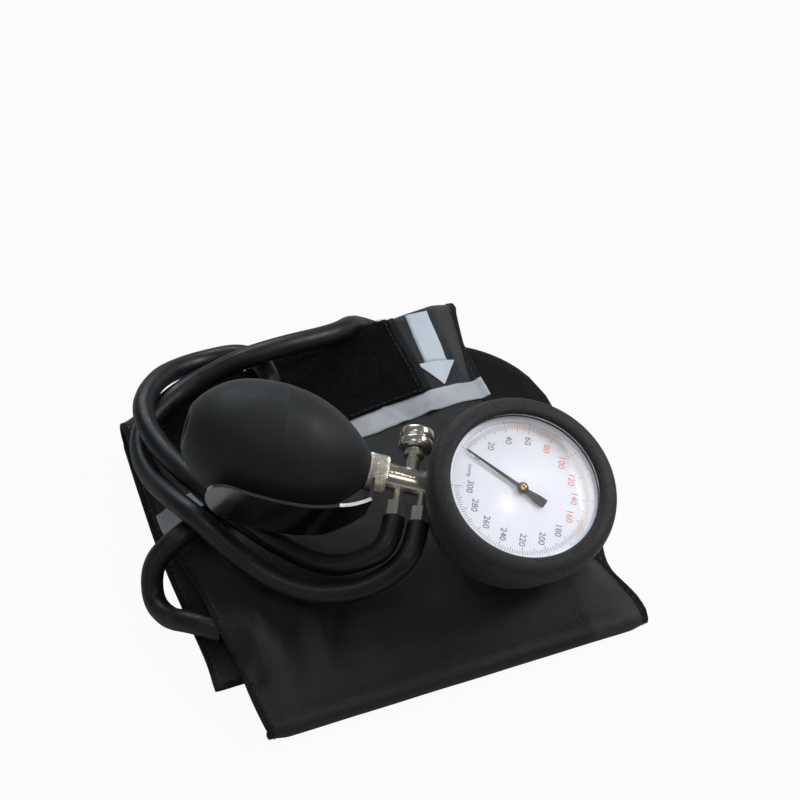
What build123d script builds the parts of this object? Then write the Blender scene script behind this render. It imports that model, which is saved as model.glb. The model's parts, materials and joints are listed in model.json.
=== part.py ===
from build123d import *
import math
import os

os.makedirs("parts", exist_ok=True)

# An aneroid sphygmomanometer put down ready to store. The cuff lies folded in three, the gauge with
# its valve and squeeze bulb lies on top, and two hoses loop from the valve to the cuff.
# Frame: origin under the middle of the whole, +X across the cuff's width, +Y to its back, +Z up.
# The gauge, valve and bulb are drawn in their own frame, with X along the valve's axis towards the
# gauge and Z square out of the dial, and are then placed as one.

# How far everything is moved to the front when it is saved, so the origin lies under its middle
frame_shift = 8.9

# Placing of the gauge, valve and bulb
stem_centre = (35.9, -32.5, 34.2)
stem_heading = -25.0
stem_slope = 16.3
stem_roll = 15.9

# Fits and clearances
running_gap = 0.05
loose_gap = 0.3
thin_gap = 0.1

# Gauge case, bumper and glass
case_radius = 29.5
case_wall = 1.5
case_floor = -7.2
case_floor_thickness = 1.5
case_top = 15.6
case_waist = 4.0
case_cup_share = 0.678
bumper_wall = 4.3
bumper_low_wall = 2.4
bumper_foot_thickness = 1.2
bumper_lip_cover = 2.2
bumper_lip_height = 1.5
bumper_under_lip = 5.0
bumper_slot_reach = 17.0
bumper_slot_depth = 2.0
bumper_slot_height = 9.4
glass_seat_height = 0.4
glass_edge_height = 1.4
glass_edge_gap = 0.2
glass_rise = 2.2
glass_thickness = 1.4
bezel_height = 1.2

# Dial and pointer
dial_edge_gap = 0.4
dial_thickness = 0.5
dial_top = 14.5
pointer_clearance = 0.9
pointer_thickness = 0.35
pointer_reach = 24.0
pointer_root_width = 1.5
pointer_tip_width = 0.5
tail_reach = 9.5
tail_width = 3.2
hub_radius = 1.9
hub_height = 1.0
zero_angle = 246.0

# Movement between two plates
arbor_radius = 0.6
plate_thickness = 1.0
lower_plate_bottom = 5.6
upper_plate_bottom = 10.4
tooth_module = 0.35
pinion_teeth = 12
sector_full_teeth = 72
sector_tooth_count = 15
mesh_slack = 0.06
gear_thickness = 0.8
sector_bottom = 7.6
pinion_overlap = 0.3
sector_hub_radius = 1.8
tail_arm_reach = 4.2
pillar_radius = 1.3
pillar_spread = 9.0
pillar_front = 6.0
pillar_rear = 22.6
pillar_foot_reach = 19.0
lug_width = 3.4
plate_pad_radius = 3.0
screw_head_radius = 1.8
screw_head_height = 0.8
hairspring_turns = 4
hairspring_inner = 1.5
hairspring_pitch = 0.75
hairspring_width = 0.22
hairspring_height = 0.5
hairspring_bottom = 9.3
collet_radius = 1.0

# Pressure capsule and its post
capsule_radius = 17.0
capsule_bottom = -3.4
capsule_height = 4.6
capsule_ridges = 3
ridge_height = 0.5
post_radius = 1.2
post_height = 1.2
post_tip_chamfer = 0.7
rocker_offset = 8.0
rocker_shaft_radius = 0.7
rocker_shaft_half = 8.0
rocker_arm_width = 2.0
rocker_arm_thickness = 0.6
inlet_stud_radius = 4.0
inlet_bar_width = 6.0
inlet_block_height = 8.7
channel_radius = 1.5

# Valve block, collar and bulb fitting. The valve, spoon and bulb are placed from the case's side.
valve_foot = -case_radius
valve_radius = 4.6
valve_gauge_end = valve_foot + 3.0
valve_bulb_end = valve_foot - 17.5
collar_radius = 6.7
collar_start = valve_foot - 20.7
collar_end = valve_foot - 16.1
knurl_count = 36
knurl_depth = 0.45
fitting_radius = 4.1
fitting_end = valve_foot - 32.5
fitting_flange_radius = 4.8
flap_chamber_radius = 3.3
flap_chamber_depth = 3.0
flap_radius = 2.7
flap_thickness = 0.6

# Release valve
release_x = valve_foot - 7.3
bonnet_neck_radius = 2.4
bonnet_flange_radius = 3.6
bonnet_flange_bottom = 9.6
bonnet_flange_top = 12.0
needle_radius = 1.2
needle_tip = 2.0
knob_radius = 6.1
knob_lift_gap = 0.5
knob_ring_height = 3.5
knob_groove_height = 0.6
knob_groove_radius = 5.3

# Hose nuts and hoses
nut_one_x = valve_foot - 10.9
nut_two_x = valve_foot - 2.1
nut_flats = 6.6
nut_inner_end = 9.6
nut_boss_radius = 1.9
nut_outer_end = 15.4
hose_radius = 4.0
hose_bore_radius = 2.0
nipple_end = 20.2
nipple_bore_radius = 1.0
barb_height = 0.08

# Finger spoon
spoon_thickness = 1.2
spoon_width = 20.0
spoon_neck_width = 11.0
spoon_ring_radius = 6.4
spoon_turn = -6.0
spoon_angles = [-44.0, -36.0, -24.0, -10.0, 0.0, 8.0, 16.0]
spoon_points = [
    (valve_foot - 21.5, 13.6), (valve_foot - 25.5, 17.2), (valve_foot - 32.5, 21.6), (valve_foot - 44.5, 25.2),
    (valve_foot - 57.5, 25.9), (valve_foot - 68.5, 25.2), (valve_foot - 77.5, 23.0),
]

# Squeeze bulb, as radius at places along its length
bulb_neck_end = valve_foot - 22.1
bulb_outline = [
    (valve_foot - 26.5, 10.2), (valve_foot - 32.5, 15.0), (valve_foot - 38.5, 18.7), (valve_foot - 45.5, 21.3),
    (valve_foot - 53.5, 22.6), (valve_foot - 61.5, 22.8), (valve_foot - 69.5, 22.0), (valve_foot - 77.5, 19.2),
    (valve_foot - 84.5, 13.4),
]
bulb_cavity = [
    (valve_foot - 35.0, 12.0), (valve_foot - 38.0, 18.4), (valve_foot - 45.5, 21.3), (valve_foot - 53.5, 22.6),
    (valve_foot - 61.5, 22.8), (valve_foot - 69.5, 22.0), (valve_foot - 76.5, 19.6), (valve_foot - 80.5, 16.4),
    (valve_foot - 83.0, 11.0),
]
bulb_neck_radius = 7.4
bulb_wall = 2.2
bulb_far_end = valve_foot - 88.5
bulb_end_radius = 7.0
inlet_radius = 4.6
inlet_length = 9.0
inlet_recess = 1.0
inlet_flap_radius = 2.9

# Folded cuff, front to back and in height
cuff_front = -77.0
cuff_half_width = 81.5
cuff_back_left = 73.0
cuff_back_right = 91.0
profile_half = 82.0
tongue_thickness = 3.5
front_fold_height = 8.0
ramp_foot = -71.0
ramp_shoulder = -53.0
ramp_shoulder_height = 15.3
plateau_start = -11.0
cuff_top = 20.5
layer_thickness = 5.0
middle_bottom = 5.5
middle_end = -53.0
tongue_back = 83.0
tongue_corner_radius = 47.0
panel = 1.3
tongue_width = 141.0
tongue_right_edge = [(80.0, 5.0), (74.5, -25.0), (69.5, -46.0), (72.0, -57.0), (73.0, -79.0)]
tongue_left_edge = [(-70.0, -79.0), (-60.0, -20.0)]
top_left_edge = [(-77.5, 60.0), (-79.5, 17.0), (-73.6, -20.0), (-71.5, -50.0), (-70.0, -79.0)]
top_right_edge = [
    (71.5, -79.0), (72.0, -69.0), (70.0, -64.0), (65.5, -55.0), (63.0, -48.0), (60.0, -25.0), (57.0, 5.0),
    (54.5, 30.0), (53.5, 45.0), (57.0, 66.0), (61.0, 78.0),
]
middle_left_edge = [(-77.5, 72.0), (-79.2, 48.0), (-80.8, 20.0), (-81.2, 0.0), (-80.5, -33.0), (-80.4, -42.0)]
middle_right_front = 56.5
middle_right_back = 60.3

# Cuff pocket and bladder
pocket_left = -66.0
pocket_right = 50.0
pocket_middle_end = -45.0
pocket_top_end = -10.0

# Cuff patches and marks
patch_height = 1.2
patch_left = -66.0
patch_right = 33.5
patch_front_left = 35.0
patch_front_right = 42.0
patch_back_left = 63.0
patch_back_right = 74.0
hook_front = 18.0
hook_back = 74.0
hook_left = -38.0
hook_right = 58.0
mark_height = 0.4
stripe_width = 10.0
stripe_line = [(-85.0, 16.3), (3.4, 32.8), (34.0, 35.6), (55.6, 36.8)]
arrow_tip = (41.3, 42.8)
arrow_heading = -95.0
arrow_length = 34.0
arrow_head_length = 11.7
arrow_head_width = 14.6
arrow_shaft_width = 8.7

# Tube ports on the cuff
port_radius = 4.3
side_port_place = (-76.1, -31.4, 14.9)
side_port_heading = -40.0
side_port_length = 5.0
back_port_place = (43.0, 89.2, 6.5)
back_port_heading = 6.3
back_port_length = 12.0

# Hose routes from the valve to the cuff: points at the corners of the runs
hose_one_route = [
    (-19.5, -37.0, 34.0), (-31.4, -31.5, 28.5), (-43.0, -15.6, 26.0), (-53.5, -1.5, 29.5),
    (-60.5, 8.5, 33.8), (-66.5, 22.0, 35.0), (-71.5, 38.0, 35.2), (-72.8, 52.0, 35.0),
    (-70.2, 62.6, 34.4), (-61.0, 74.6, 30.9), (-50.0, 82.6, 25.0), (-37.4, 86.2, 21.3),
    (-26.5, 84.8, 21.6), (-21.2, 75.0, 25.8), (-20.5, 60.0, 26.6), (-27.0, 46.0, 26.3),
    (-39.0, 30.5, 25.2), (-54.0, 14.5, 24.9), (-76.5, 2.2, 26.4), (-86.8, 1.2, 18.0), (-90.0, -6.0, 7.0),
    (-87.5, -17.5, 8.5),
]
hose_two_route = [
    (-12.5, -44.0, 31.2), (-26.0, -44.0, 26.8), (-42.1, -37.3, 24.9), (-54.0, -23.8, 25.5),
    (-62.3, -12.0, 31.2), (-69.2, 0.5, 35.4), (-74.7, 14.5, 33.6), (-77.4, 30.5, 28.0),
    (-77.2, 45.5, 25.2), (-73.0, 57.8, 25.0), (-62.0, 65.6, 26.1), (-50.0, 71.3, 26.2),
    (-38.5, 73.4, 29.6), (-27.0, 75.2, 34.9), (-17.5, 77.2, 34.9), (-8.0, 78.8, 29.4), (2.0, 80.0, 25.8),
    (12.0, 81.6, 25.2), (21.0, 87.4, 19.4), (26.5, 91.0, 11.0),
]


def stem_axes():
    """The valve's axis and the dial's normal as directions, from the three angles at the top."""
    heading = math.radians(stem_heading)
    slope = math.radians(stem_slope)
    roll = math.radians(stem_roll)
    along = Vector(math.cos(slope) * math.cos(heading), math.cos(slope) * math.sin(heading), -math.sin(slope))
    level = Vector(-math.sin(heading), math.cos(heading), 0)
    upright = along.cross(level)
    normal = upright * math.cos(roll) - level * math.sin(roll)
    return along, normal


stem_direction, dial_normal = stem_axes()
gauge_frame = Plane(origin=stem_centre, x_dir=stem_direction, z_dir=dial_normal)
gauge_place = gauge_frame.location


def save(shape, node):
    """Writes one node, as one solid or a group of solids."""
    placed = Pos(0, -frame_shift, 0) * shape
    placed.label = node
    export_step(placed, f"parts/{node}.step")


def save_in_gauge(shape, node):
    """Writes a node that was drawn in the gauge's own frame."""
    save(gauge_place * shape, node)


def ring(outer, inner, low, high):
    """A ring about Z."""
    body = Pos(0, 0, (low + high) / 2) * Cylinder(outer, high - low)
    if inner > 0:
        body = body - Pos(0, 0, (low + high) / 2) * Cylinder(inner, high - low + 2)
    return body


def rod(radius, low, high, inner=0.0):
    """A rod or tube along X."""
    body = Rot(0, 90, 0) * ring(radius, inner, low, high)
    return body


def post(radius, x, low, high, inner=0.0):
    """A rod or tube along Y at a place on the valve's axis."""
    body = Pos(x, 0, 0) * Rot(-90, 0, 0) * ring(radius, inner, low, high)
    return body


def revolved(outline):
    """A solid of revolution about Z from an outline in X and Z."""
    with BuildPart() as made:
        with BuildSketch(Plane.XZ):
            with BuildLine():
                outline()
            make_face()
        revolve(axis=Axis.Z)
    return made.part


# Gauge case, a cup that narrows to its foot, with the hole where the valve enters
case_inner = case_radius - case_wall
case_cup_radius = case_cup_share * case_radius
cup_centre = case_radius - case_cup_radius
bumper_lip_radius = case_radius - bumper_lip_cover
dial_radius = case_inner - dial_edge_gap


def cup_arc(radius, low):
    """The cup's curve, or one parallel to it, from its waist down to a height, as three points."""
    sweep_angle = math.asin((case_waist - low) / radius)
    return [
        (
            cup_centre + radius * math.cos(sweep_angle * share),
            case_waist - radius * math.sin(sweep_angle * share),
        )
        for share in (0, 0.5, 1)
    ]


def case_outline():
    outside = cup_arc(case_cup_radius, case_floor)
    inside = cup_arc(case_cup_radius - case_wall, case_floor + case_floor_thickness)
    Polyline((case_inner, case_top), (case_radius, case_top), outside[0])
    ThreePointArc(*outside)
    Polyline(outside[2], (0, case_floor), (0, case_floor + case_floor_thickness), inside[2])
    ThreePointArc(*inside)
    Line(inside[0], (case_inner, case_top))


case_shell = revolved(case_outline)
case_shell = case_shell - rod(valve_radius + running_gap, valve_gauge_end - case_wall - 5, valve_gauge_end + 1)
save_in_gauge(case_shell, "gauge_case")

# Rubber bumper: barrelled side, rolled lip over the glass, and a turned-in foot
lip_top = case_top + glass_seat_height + glass_edge_height + bezel_height + bumper_lip_height
lip_bottom = lip_top - bumper_lip_height
bumper_inner = case_radius + thin_gap
bumper_radius = bumper_inner + bumper_wall
foot_bottom = case_floor - thin_gap - bumper_foot_thickness


def bumper_outline():
    inside = cup_arc(case_cup_radius + thin_gap, case_floor - thin_gap)
    outside = cup_arc(case_cup_radius + bumper_low_wall, foot_bottom)
    crown = (bumper_radius - 3.2, lip_top - 0.2)
    widest = (bumper_radius - 0.2, lip_top - 4.6)
    Polyline(
        (bumper_inner, lip_bottom), (bumper_lip_radius, lip_bottom), (bumper_lip_radius + 0.3, lip_top - 0.5),
        (bumper_lip_radius + 1.5, lip_top), crown,
    )
    ThreePointArc(crown, (bumper_radius - 1.0, lip_top - 1.6), widest)
    ThreePointArc(widest, (bumper_radius - 0.8, (widest[1] + case_waist) / 2), outside[0])
    ThreePointArc(*outside)
    Polyline(
        outside[2], (inside[2][0] - bumper_under_lip, foot_bottom),
        (inside[2][0] - bumper_under_lip, case_floor - thin_gap), inside[2],
    )
    ThreePointArc(*inside)
    Line(inside[0], (bumper_inner, lip_bottom))


bumper = revolved(bumper_outline)
bumper = bumper - rod(valve_radius + loose_gap, -bumper_radius - 5, -case_inner / 2)
bumper_slot = Pos(-bumper_radius, -bumper_slot_reach / 2, 0)
slot_width = 2 * (bumper_wall + thin_gap + bumper_slot_depth)
bumper = bumper - bumper_slot * Box(slot_width, bumper_slot_reach, bumper_slot_height)
save_in_gauge(bumper, "rubber_bumper")

# Glass, its seat and the bezel that holds it down
seat_top = case_top + glass_seat_height
save_in_gauge(ring(case_radius - glass_edge_gap, case_inner, case_top, seat_top), "glass_seat")
glass_radius = case_radius - glass_edge_gap
glass_edge_top = seat_top + glass_edge_height
save_in_gauge(ring(glass_radius, bumper_lip_radius + 0.2, glass_edge_top, lip_bottom), "bezel_ring")


def glass_outline():
    dome_start = bumper_lip_radius - 0.4
    dome_curve = (dome_start ** 2 + glass_rise ** 2) / (2 * glass_rise)
    halfway_rise = glass_rise - dome_curve + math.sqrt(dome_curve ** 2 - dome_start ** 2 / 4)
    Polyline((0, glass_edge_top + glass_rise), (0, glass_edge_top + glass_rise - glass_thickness))
    ThreePointArc(
        (0, glass_edge_top + glass_rise - glass_thickness),
        (dome_start / 2, glass_edge_top + halfway_rise - glass_thickness), (dome_start, seat_top),
    )
    Polyline(
        (dome_start, seat_top), (glass_radius, seat_top), (glass_radius, glass_edge_top),
        (dome_start, glass_edge_top),
    )
    ThreePointArc(
        (dome_start, glass_edge_top), (dome_start / 2, glass_edge_top + halfway_rise),
        (0, glass_edge_top + glass_rise),
    )


save_in_gauge(revolved(glass_outline), "crystal")

# Dial plate on its rim shelf
dial_bottom = dial_top - dial_thickness
dial = ring(dial_radius, arbor_radius + loose_gap, dial_bottom, dial_top)
save_in_gauge(dial, "dial_plate")
shelf = ring(case_inner, dial_radius - 2.0, dial_bottom - 1.2, dial_bottom)
save_in_gauge(shelf, "dial_shelf")

# Pinion and sector, with teeth that taper to a flat tip
pinion_pitch_radius = tooth_module * pinion_teeth / 2
sector_pitch_radius = tooth_module * sector_full_teeth / 2
sector_distance = pinion_pitch_radius + sector_pitch_radius + mesh_slack
tooth_step = 360.0 / sector_full_teeth
half_tooth = math.pi * tooth_module / 4


def tooth(pitch_radius, angle, low, high):
    """One tooth pointing outwards at an angle from +X, rooted a little below its root circle."""
    root = pitch_radius - 1.1 * tooth_module
    tip = pitch_radius + 0.85 * tooth_module
    with BuildPart() as made:
        with BuildSketch(Plane.XY.offset(low)):
            with BuildLine():
                Polyline(
                    (root - 0.2, -half_tooth * 1.15), (root, -half_tooth * 1.15),
                    (pitch_radius, -half_tooth * 0.82),
                    (tip, -half_tooth * 0.4), (tip, half_tooth * 0.4), (pitch_radius, half_tooth * 0.82),
                    (root, half_tooth * 1.15), (root - 0.2, half_tooth * 1.15), close=True,
                )
            make_face()
        extrude(amount=high - low)
    return Rot(0, 0, angle) * made.part


sector_top = sector_bottom + gear_thickness
gear_middle = (sector_bottom + sector_top) / 2
pinion_low = sector_bottom - pinion_overlap
pinion_high = sector_top + pinion_overlap
pinion_root = pinion_pitch_radius - 1.1 * tooth_module
upper_plate_top = upper_plate_bottom + plate_thickness
lower_plate_top = lower_plate_bottom + plate_thickness
pointer_low = dial_top + pointer_clearance
pointer_high = pointer_low + pointer_thickness
arbor = ring(arbor_radius, 0, lower_plate_bottom + 0.1, pointer_low)
arbor = arbor + ring(pinion_root, 0, pinion_low, pinion_high)
for index in range(pinion_teeth):
    arbor = arbor + tooth(pinion_pitch_radius, 270 + index * 360 / pinion_teeth, pinion_low, pinion_high)
arbor = arbor + ring(collet_radius, 0, hairspring_bottom - 0.1, hairspring_bottom + hairspring_height + 0.1)
save_in_gauge(arbor, "pinion_arbor")

sector_root = sector_pitch_radius - 1.1 * tooth_module
sector_span = (sector_tooth_count + 1) * tooth_step
sector_middle = 90 + 1.5 * tooth_step - (sector_tooth_count - 1) * tooth_step / 2
with BuildPart() as sector_made:
    with BuildSketch(Plane.XY.offset(sector_bottom)):
        with BuildLine():
            inner_start = (sector_root - 1.6, -sector_span / 2)
            outer_points = [
                ((sector_root - 0.1) * math.cos(math.radians(a)), (sector_root - 0.1) * math.sin(math.radians(a)))
                for a in (-sector_span / 2, 0, sector_span / 2)
            ]
            inner_points = [
                ((sector_root - 1.6) * math.cos(math.radians(a)), (sector_root - 1.6) * math.sin(math.radians(a)))
                for a in (-sector_span / 2, 0, sector_span / 2)
            ]
            ThreePointArc(*outer_points)
            ThreePointArc(*inner_points)
            Line(outer_points[0], inner_points[0])
            Line(outer_points[2], inner_points[2])
        make_face()
    extrude(amount=gear_thickness)
sector = sector_made.part
for spoke_angle in (-sector_span / 2 + 6, sector_span / 2 - 6):
    spoke = Pos(sector_root / 2, 0, gear_middle) * Box(sector_root - 1.4, 1.3, gear_thickness)
    sector = sector + Rot(0, 0, spoke_angle) * spoke
for index in range(sector_tooth_count):
    turn = (index - (sector_tooth_count - 1) / 2) * tooth_step
    sector = sector + tooth(sector_pitch_radius, turn, sector_bottom, sector_top)
sector = Rot(0, 0, sector_middle) * sector
tail_arm = Pos(-tail_arm_reach / 2, 0, gear_middle) * Box(tail_arm_reach, 1.6, gear_thickness)
sector = sector + Rot(0, 0, 90) * tail_arm
sector = sector + ring(sector_hub_radius, 0, sector_bottom, sector_top)
sector = sector + ring(arbor_radius, 0, lower_plate_bottom + 0.1, upper_plate_top - 0.1)
sector = Pos(0, -sector_distance, 0) * sector
save_in_gauge(sector, "sector_gear")

# Movement plates on their pillars
pillar_places = [(-pillar_spread, pillar_front), (pillar_spread, pillar_front), (0, -pillar_rear)]


def movement_plate(low):
    """One plate: a rounded triangle over the pillars, bored for the two arbors."""
    with BuildPart() as made:
        with BuildSketch(Plane.XY.offset(low)):
            for place in pillar_places:
                with Locations(place):
                    Circle(plate_pad_radius)
            make_hull()
        extrude(amount=plate_thickness)
    bored = made.part
    for place in ((0, 0), (0, -sector_distance)):
        bored = bored - Pos(*place, 0) * ring(arbor_radius + running_gap, 0, low - 1, low + plate_thickness + 1)
    return bored


lower_plate = movement_plate(lower_plate_bottom)
case_floor_top = case_floor + case_floor_thickness
for place in pillar_places:
    lower_plate = lower_plate + Pos(*place, 0) * ring(pillar_radius, 0, lower_plate_top, upper_plate_bottom)
    foot = ring(pillar_radius, 0, case_floor_top, lower_plate_bottom)
    reach = math.hypot(*place)
    foot_place = (place[0] * pillar_foot_reach / reach, place[1] * pillar_foot_reach / reach)
    lug_middle = lower_plate_bottom + plate_thickness / 2
    lug = Pos((place[0] + foot_place[0]) / 2, (place[1] + foot_place[1]) / 2, lug_middle)
    lug = lug * Rot(0, 0, math.degrees(math.atan2(place[1], place[0])))
    lug = lug * Box(abs(reach - pillar_foot_reach) + lug_width, lug_width, plate_thickness)
    lower_plate = lower_plate + lug
    lower_plate = lower_plate + Pos(*foot_place, 0) * foot
save_in_gauge(lower_plate, "movement_frame")
save_in_gauge(movement_plate(upper_plate_bottom), "movement_top_plate")
screws = [
    Pos(*place, 0) * ring(screw_head_radius, 0, upper_plate_top, upper_plate_top + screw_head_height)
    for place in pillar_places
]
save_in_gauge(Compound(children=screws), "movement_screws")

# Hairspring: a flat spiral of half turns, with its stud up to the plate
with BuildPart() as spring_made:
    with BuildSketch(Plane.XY.offset(hairspring_bottom)):
        with BuildLine() as spiral:
            inner = hairspring_inner
            for half in range(2 * hairspring_turns):
                outer = inner + hairspring_pitch / 2
                side = 1 if half % 2 == 0 else -1
                centre = side * (inner - outer) / 2
                middle = (inner + outer) / 2
                ThreePointArc((side * inner, 0), (centre, side * middle), (-side * outer, 0))
                inner = outer
        trace(line_width=hairspring_width)
    extrude(amount=hairspring_height)
spiral_end = inner
stud_height = upper_plate_bottom - hairspring_bottom
stud = Pos(spiral_end, 0, hairspring_bottom + stud_height / 2) * Box(0.8, 0.8, stud_height)
save_in_gauge(spring_made.part + stud, "hairspring")

# Pointer: slim needle, broad tail, and its hub
with BuildPart() as pointer_made:
    with BuildSketch(Plane.XY.offset(pointer_low)):
        with BuildLine():
            Polyline(
                (0, pointer_root_width / 2), (pointer_reach - 1.2, pointer_tip_width / 2), (pointer_reach, 0),
                (pointer_reach - 1.2, -pointer_tip_width / 2), (0, -pointer_root_width / 2), close=True,
            )
        make_face()
        with BuildLine():
            Polyline(
                (0, 0.6), (-tail_reach + 3, tail_width / 2), (-tail_reach, tail_width / 2),
                (-tail_reach, -tail_width / 2), (-tail_reach + 3, -tail_width / 2), (0, -0.6), close=True,
            )
        make_face()
        Circle(hub_radius)
    extrude(amount=pointer_thickness)
pointer = Rot(0, 0, zero_angle - 90) * pointer_made.part
save_in_gauge(pointer, "pointer")
hub = ring(hub_radius, 0, pointer_high, pointer_high + hub_height)
hub = chamfer(hub.edges().group_by(Axis.Z)[-1], 0.3)
save_in_gauge(hub, "pointer_hub")

# Pressure capsule: two ridged diaphragms on an inlet stud, with the post that they lift
capsule_top = capsule_bottom + capsule_height


def capsule_outline():
    ridge_step = (capsule_radius - 3.0) / (2 * capsule_ridges)
    top_points = [(0, capsule_top)]
    for ridge in range(2 * capsule_ridges + 1):
        rise = ridge_height if ridge % 2 else 0.0
        top_points.append((1.8 + ridge * ridge_step, capsule_top - 0.4 - rise))
    middle = (capsule_top + capsule_bottom) / 2
    rim = [(capsule_radius, middle + 0.4), (capsule_radius, middle - 0.4)]
    low_points = [(r, capsule_bottom + capsule_top - z) for r, z in reversed(top_points)]
    Polyline(*top_points, *rim, *low_points, close=True)


save_in_gauge(revolved(capsule_outline), "pressure_capsule")
post_top = capsule_top + post_height
post_body = ring(post_radius, 0, capsule_top, post_top)
post_body = chamfer(post_body.edges().group_by(Axis.Z)[-1], post_tip_chamfer)
save_in_gauge(post_body, "capsule_post")
inlet_top = capsule_bottom
stud_body = ring(inlet_stud_radius, 0, case_floor_top, inlet_top)
block_start = valve_gauge_end + 3.0
inlet_bar = Pos(block_start / 2, 0, (case_floor_top + inlet_top) / 2)
inlet_bar = inlet_bar * Box(-block_start, inlet_bar_width, inlet_top - case_floor_top)
inlet_block = Pos(block_start + 1.5, 0, case_floor_top + inlet_block_height / 2)
inlet_block = inlet_block * Box(3.0, inlet_bar_width, inlet_block_height)
stud_body = stud_body + inlet_bar + inlet_block + rod(channel_radius + 1.3, valve_gauge_end, block_start)
stud_body = stud_body - rod(channel_radius, valve_gauge_end - 1, block_start + 1.5)
save_in_gauge(stud_body, "inlet_stud")

# Rocker between the post and the sector
rocker_z = post_top + rocker_arm_thickness / 2
rocker = post(rocker_shaft_radius, -rocker_offset, -rocker_shaft_half, rocker_shaft_half)
rocker = Pos(0, 0, rocker_z) * rocker
arm = Box(rocker_offset + 1.6, rocker_arm_width, rocker_arm_thickness)
arm = Pos(-rocker_offset / 2, 0, rocker_z + thin_gap) * arm
rocker = rocker + arm
save_in_gauge(rocker, "rocker_shaft")
bearing_blocks = []
for side in (-1, 1):
    block_height = lower_plate_bottom - (rocker_z - 1.6)
    block = Pos(-rocker_offset, side * (rocker_shaft_half - 1), lower_plate_bottom - block_height / 2)
    block = block * Box(3.0, 1.6, block_height)
    bore = Pos(0, 0, rocker_z) * post(rocker_shaft_radius + running_gap, -rocker_offset, -12, 12)
    bearing_blocks.append(block - bore)
save_in_gauge(Compound(children=bearing_blocks), "rocker_bearings")

# Valve block: a tube from the gauge to the bulb, with seats for the release valve and two hoses
valve = rod(valve_radius, valve_bulb_end, valve_gauge_end)
valve = valve - rod(channel_radius, valve_bulb_end - 1, valve_gauge_end + 1)
valve = valve - rod(flap_chamber_radius, valve_bulb_end - 1, valve_bulb_end + flap_chamber_depth)
valve = valve - post(bonnet_neck_radius + running_gap, release_x, needle_tip, valve_radius + 2)
valve = valve - post(needle_radius * 0.6, release_x, 0, needle_tip + 1)
for nut_x in (nut_one_x, nut_two_x):
    valve = valve + post(nut_boss_radius, nut_x, -nut_inner_end, -channel_radius - 0.5)
    valve = valve - post(nipple_bore_radius, nut_x, -nut_inner_end - 1, 0)
save_in_gauge(valve, "valve_body")

# Hose nuts and the barbed nipples inside the hoses
hex_across = nut_flats / math.cos(math.radians(30))
for name, nut_x in (("one", nut_one_x), ("two", nut_two_x)):
    with BuildPart() as nut_made:
        with BuildSketch(Plane.XY.offset(nut_inner_end)):
            RegularPolygon(hex_across / 2, 6, rotation=30)
        extrude(amount=nut_outer_end - nut_inner_end)
        chamfer(nut_made.edges().filter_by(GeomType.LINE).group_by(Axis.Z)[-1], 0.35)
    nut = Pos(nut_x, 0, 0) * Rot(90, 0, 0) * nut_made.part
    nut = nut - post(nipple_bore_radius, nut_x, -nut_outer_end - 1, -nut_inner_end + 1)
    nipple = post(hose_bore_radius - running_gap - barb_height, nut_x, -nipple_end, -nut_outer_end + 0.01)
    nipple = nipple - post(nipple_bore_radius, nut_x, -nipple_end - 1, -nut_outer_end + 1)
    save_in_gauge(nut + nipple, f"hose_nut_{name}")

# Knurled collar that clamps the bulb fitting to the valve
collar = rod(collar_radius, collar_start, collar_end, fitting_flange_radius + thin_gap)
groove_turn = 360.0 / knurl_count
for index in range(knurl_count):
    cut = Pos((collar_start + collar_end) / 2, 0, collar_radius + 0.35) * Rot(45, 0, 0)
    cut = cut * Box(collar_end - collar_start + 2, knurl_depth * 2, knurl_depth * 2)
    collar = collar - Rot(index * groove_turn, 0, 0) * cut
save_in_gauge(collar, "knurled_collar")

# Bulb fitting with the seat of the one-way flap
fitting = rod(fitting_radius, fitting_end, valve_bulb_end)
fitting = fitting + rod(fitting_flange_radius, collar_start + thin_gap, valve_bulb_end)
for barb in range(3):
    barb_start = fitting_end + 1.0 + 2.4 * barb
    fitting = fitting + rod(fitting_radius + 0.12, barb_start, barb_start + 0.8)
fitting = fitting - rod(channel_radius, fitting_end - 1, valve_bulb_end + 1)
save_in_gauge(fitting, "bulb_fitting")
save_in_gauge(rod(flap_radius, valve_bulb_end + 0.02, valve_bulb_end + flap_thickness), "outlet_flap")

# Release valve: threaded bonnet, needle and knob with two knurled rings
bonnet = post(bonnet_neck_radius, release_x, needle_tip + 0.6, bonnet_flange_bottom)
bonnet = bonnet + post(bonnet_flange_radius, release_x, bonnet_flange_bottom, bonnet_flange_top)
bonnet = bonnet - post(needle_radius + running_gap, release_x, 0, bonnet_flange_top + 1)
save_in_gauge(bonnet, "release_bonnet")
knob_bottom = bonnet_flange_top + knob_lift_gap
knob_top = knob_bottom + 2 * knob_ring_height + knob_groove_height
needle = post(needle_radius, release_x, needle_tip + 1.4, knob_bottom + knob_ring_height)
with BuildPart() as cone_made:
    with Locations(Pos(release_x, needle_tip + 0.7, 0) * Rot(-90, 0, 0)):
        Cone(0.35, needle_radius, 1.4)
needle = needle + cone_made.part
save_in_gauge(needle, "release_needle")
knob = post(knob_radius, release_x, knob_bottom, knob_bottom + knob_ring_height)
knob = knob + post(knob_groove_radius, release_x, knob_bottom + knob_ring_height, knob_top - knob_ring_height)
knob = knob + post(knob_radius, release_x, knob_top - knob_ring_height, knob_top)
knob = chamfer(knob.edges().filter_by(GeomType.CIRCLE).sort_by(Axis.Y)[-1], 0.6)
bore_end = knob_bottom + knob_ring_height + thin_gap
knob = knob - post(needle_radius + running_gap, release_x, knob_bottom - 1, bore_end)
for index in range(knurl_count):
    cut = Pos(release_x, (knob_bottom + knob_top) / 2, 0) * Rot(0, index * groove_turn, 0)
    cut = cut * Pos(0, 0, knob_radius + 0.35) * Rot(0, 45, 0)
    cut = cut * Box(knurl_depth * 2, knob_top - knob_bottom + 2, knurl_depth * 2)
    knob = knob - cut
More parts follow.
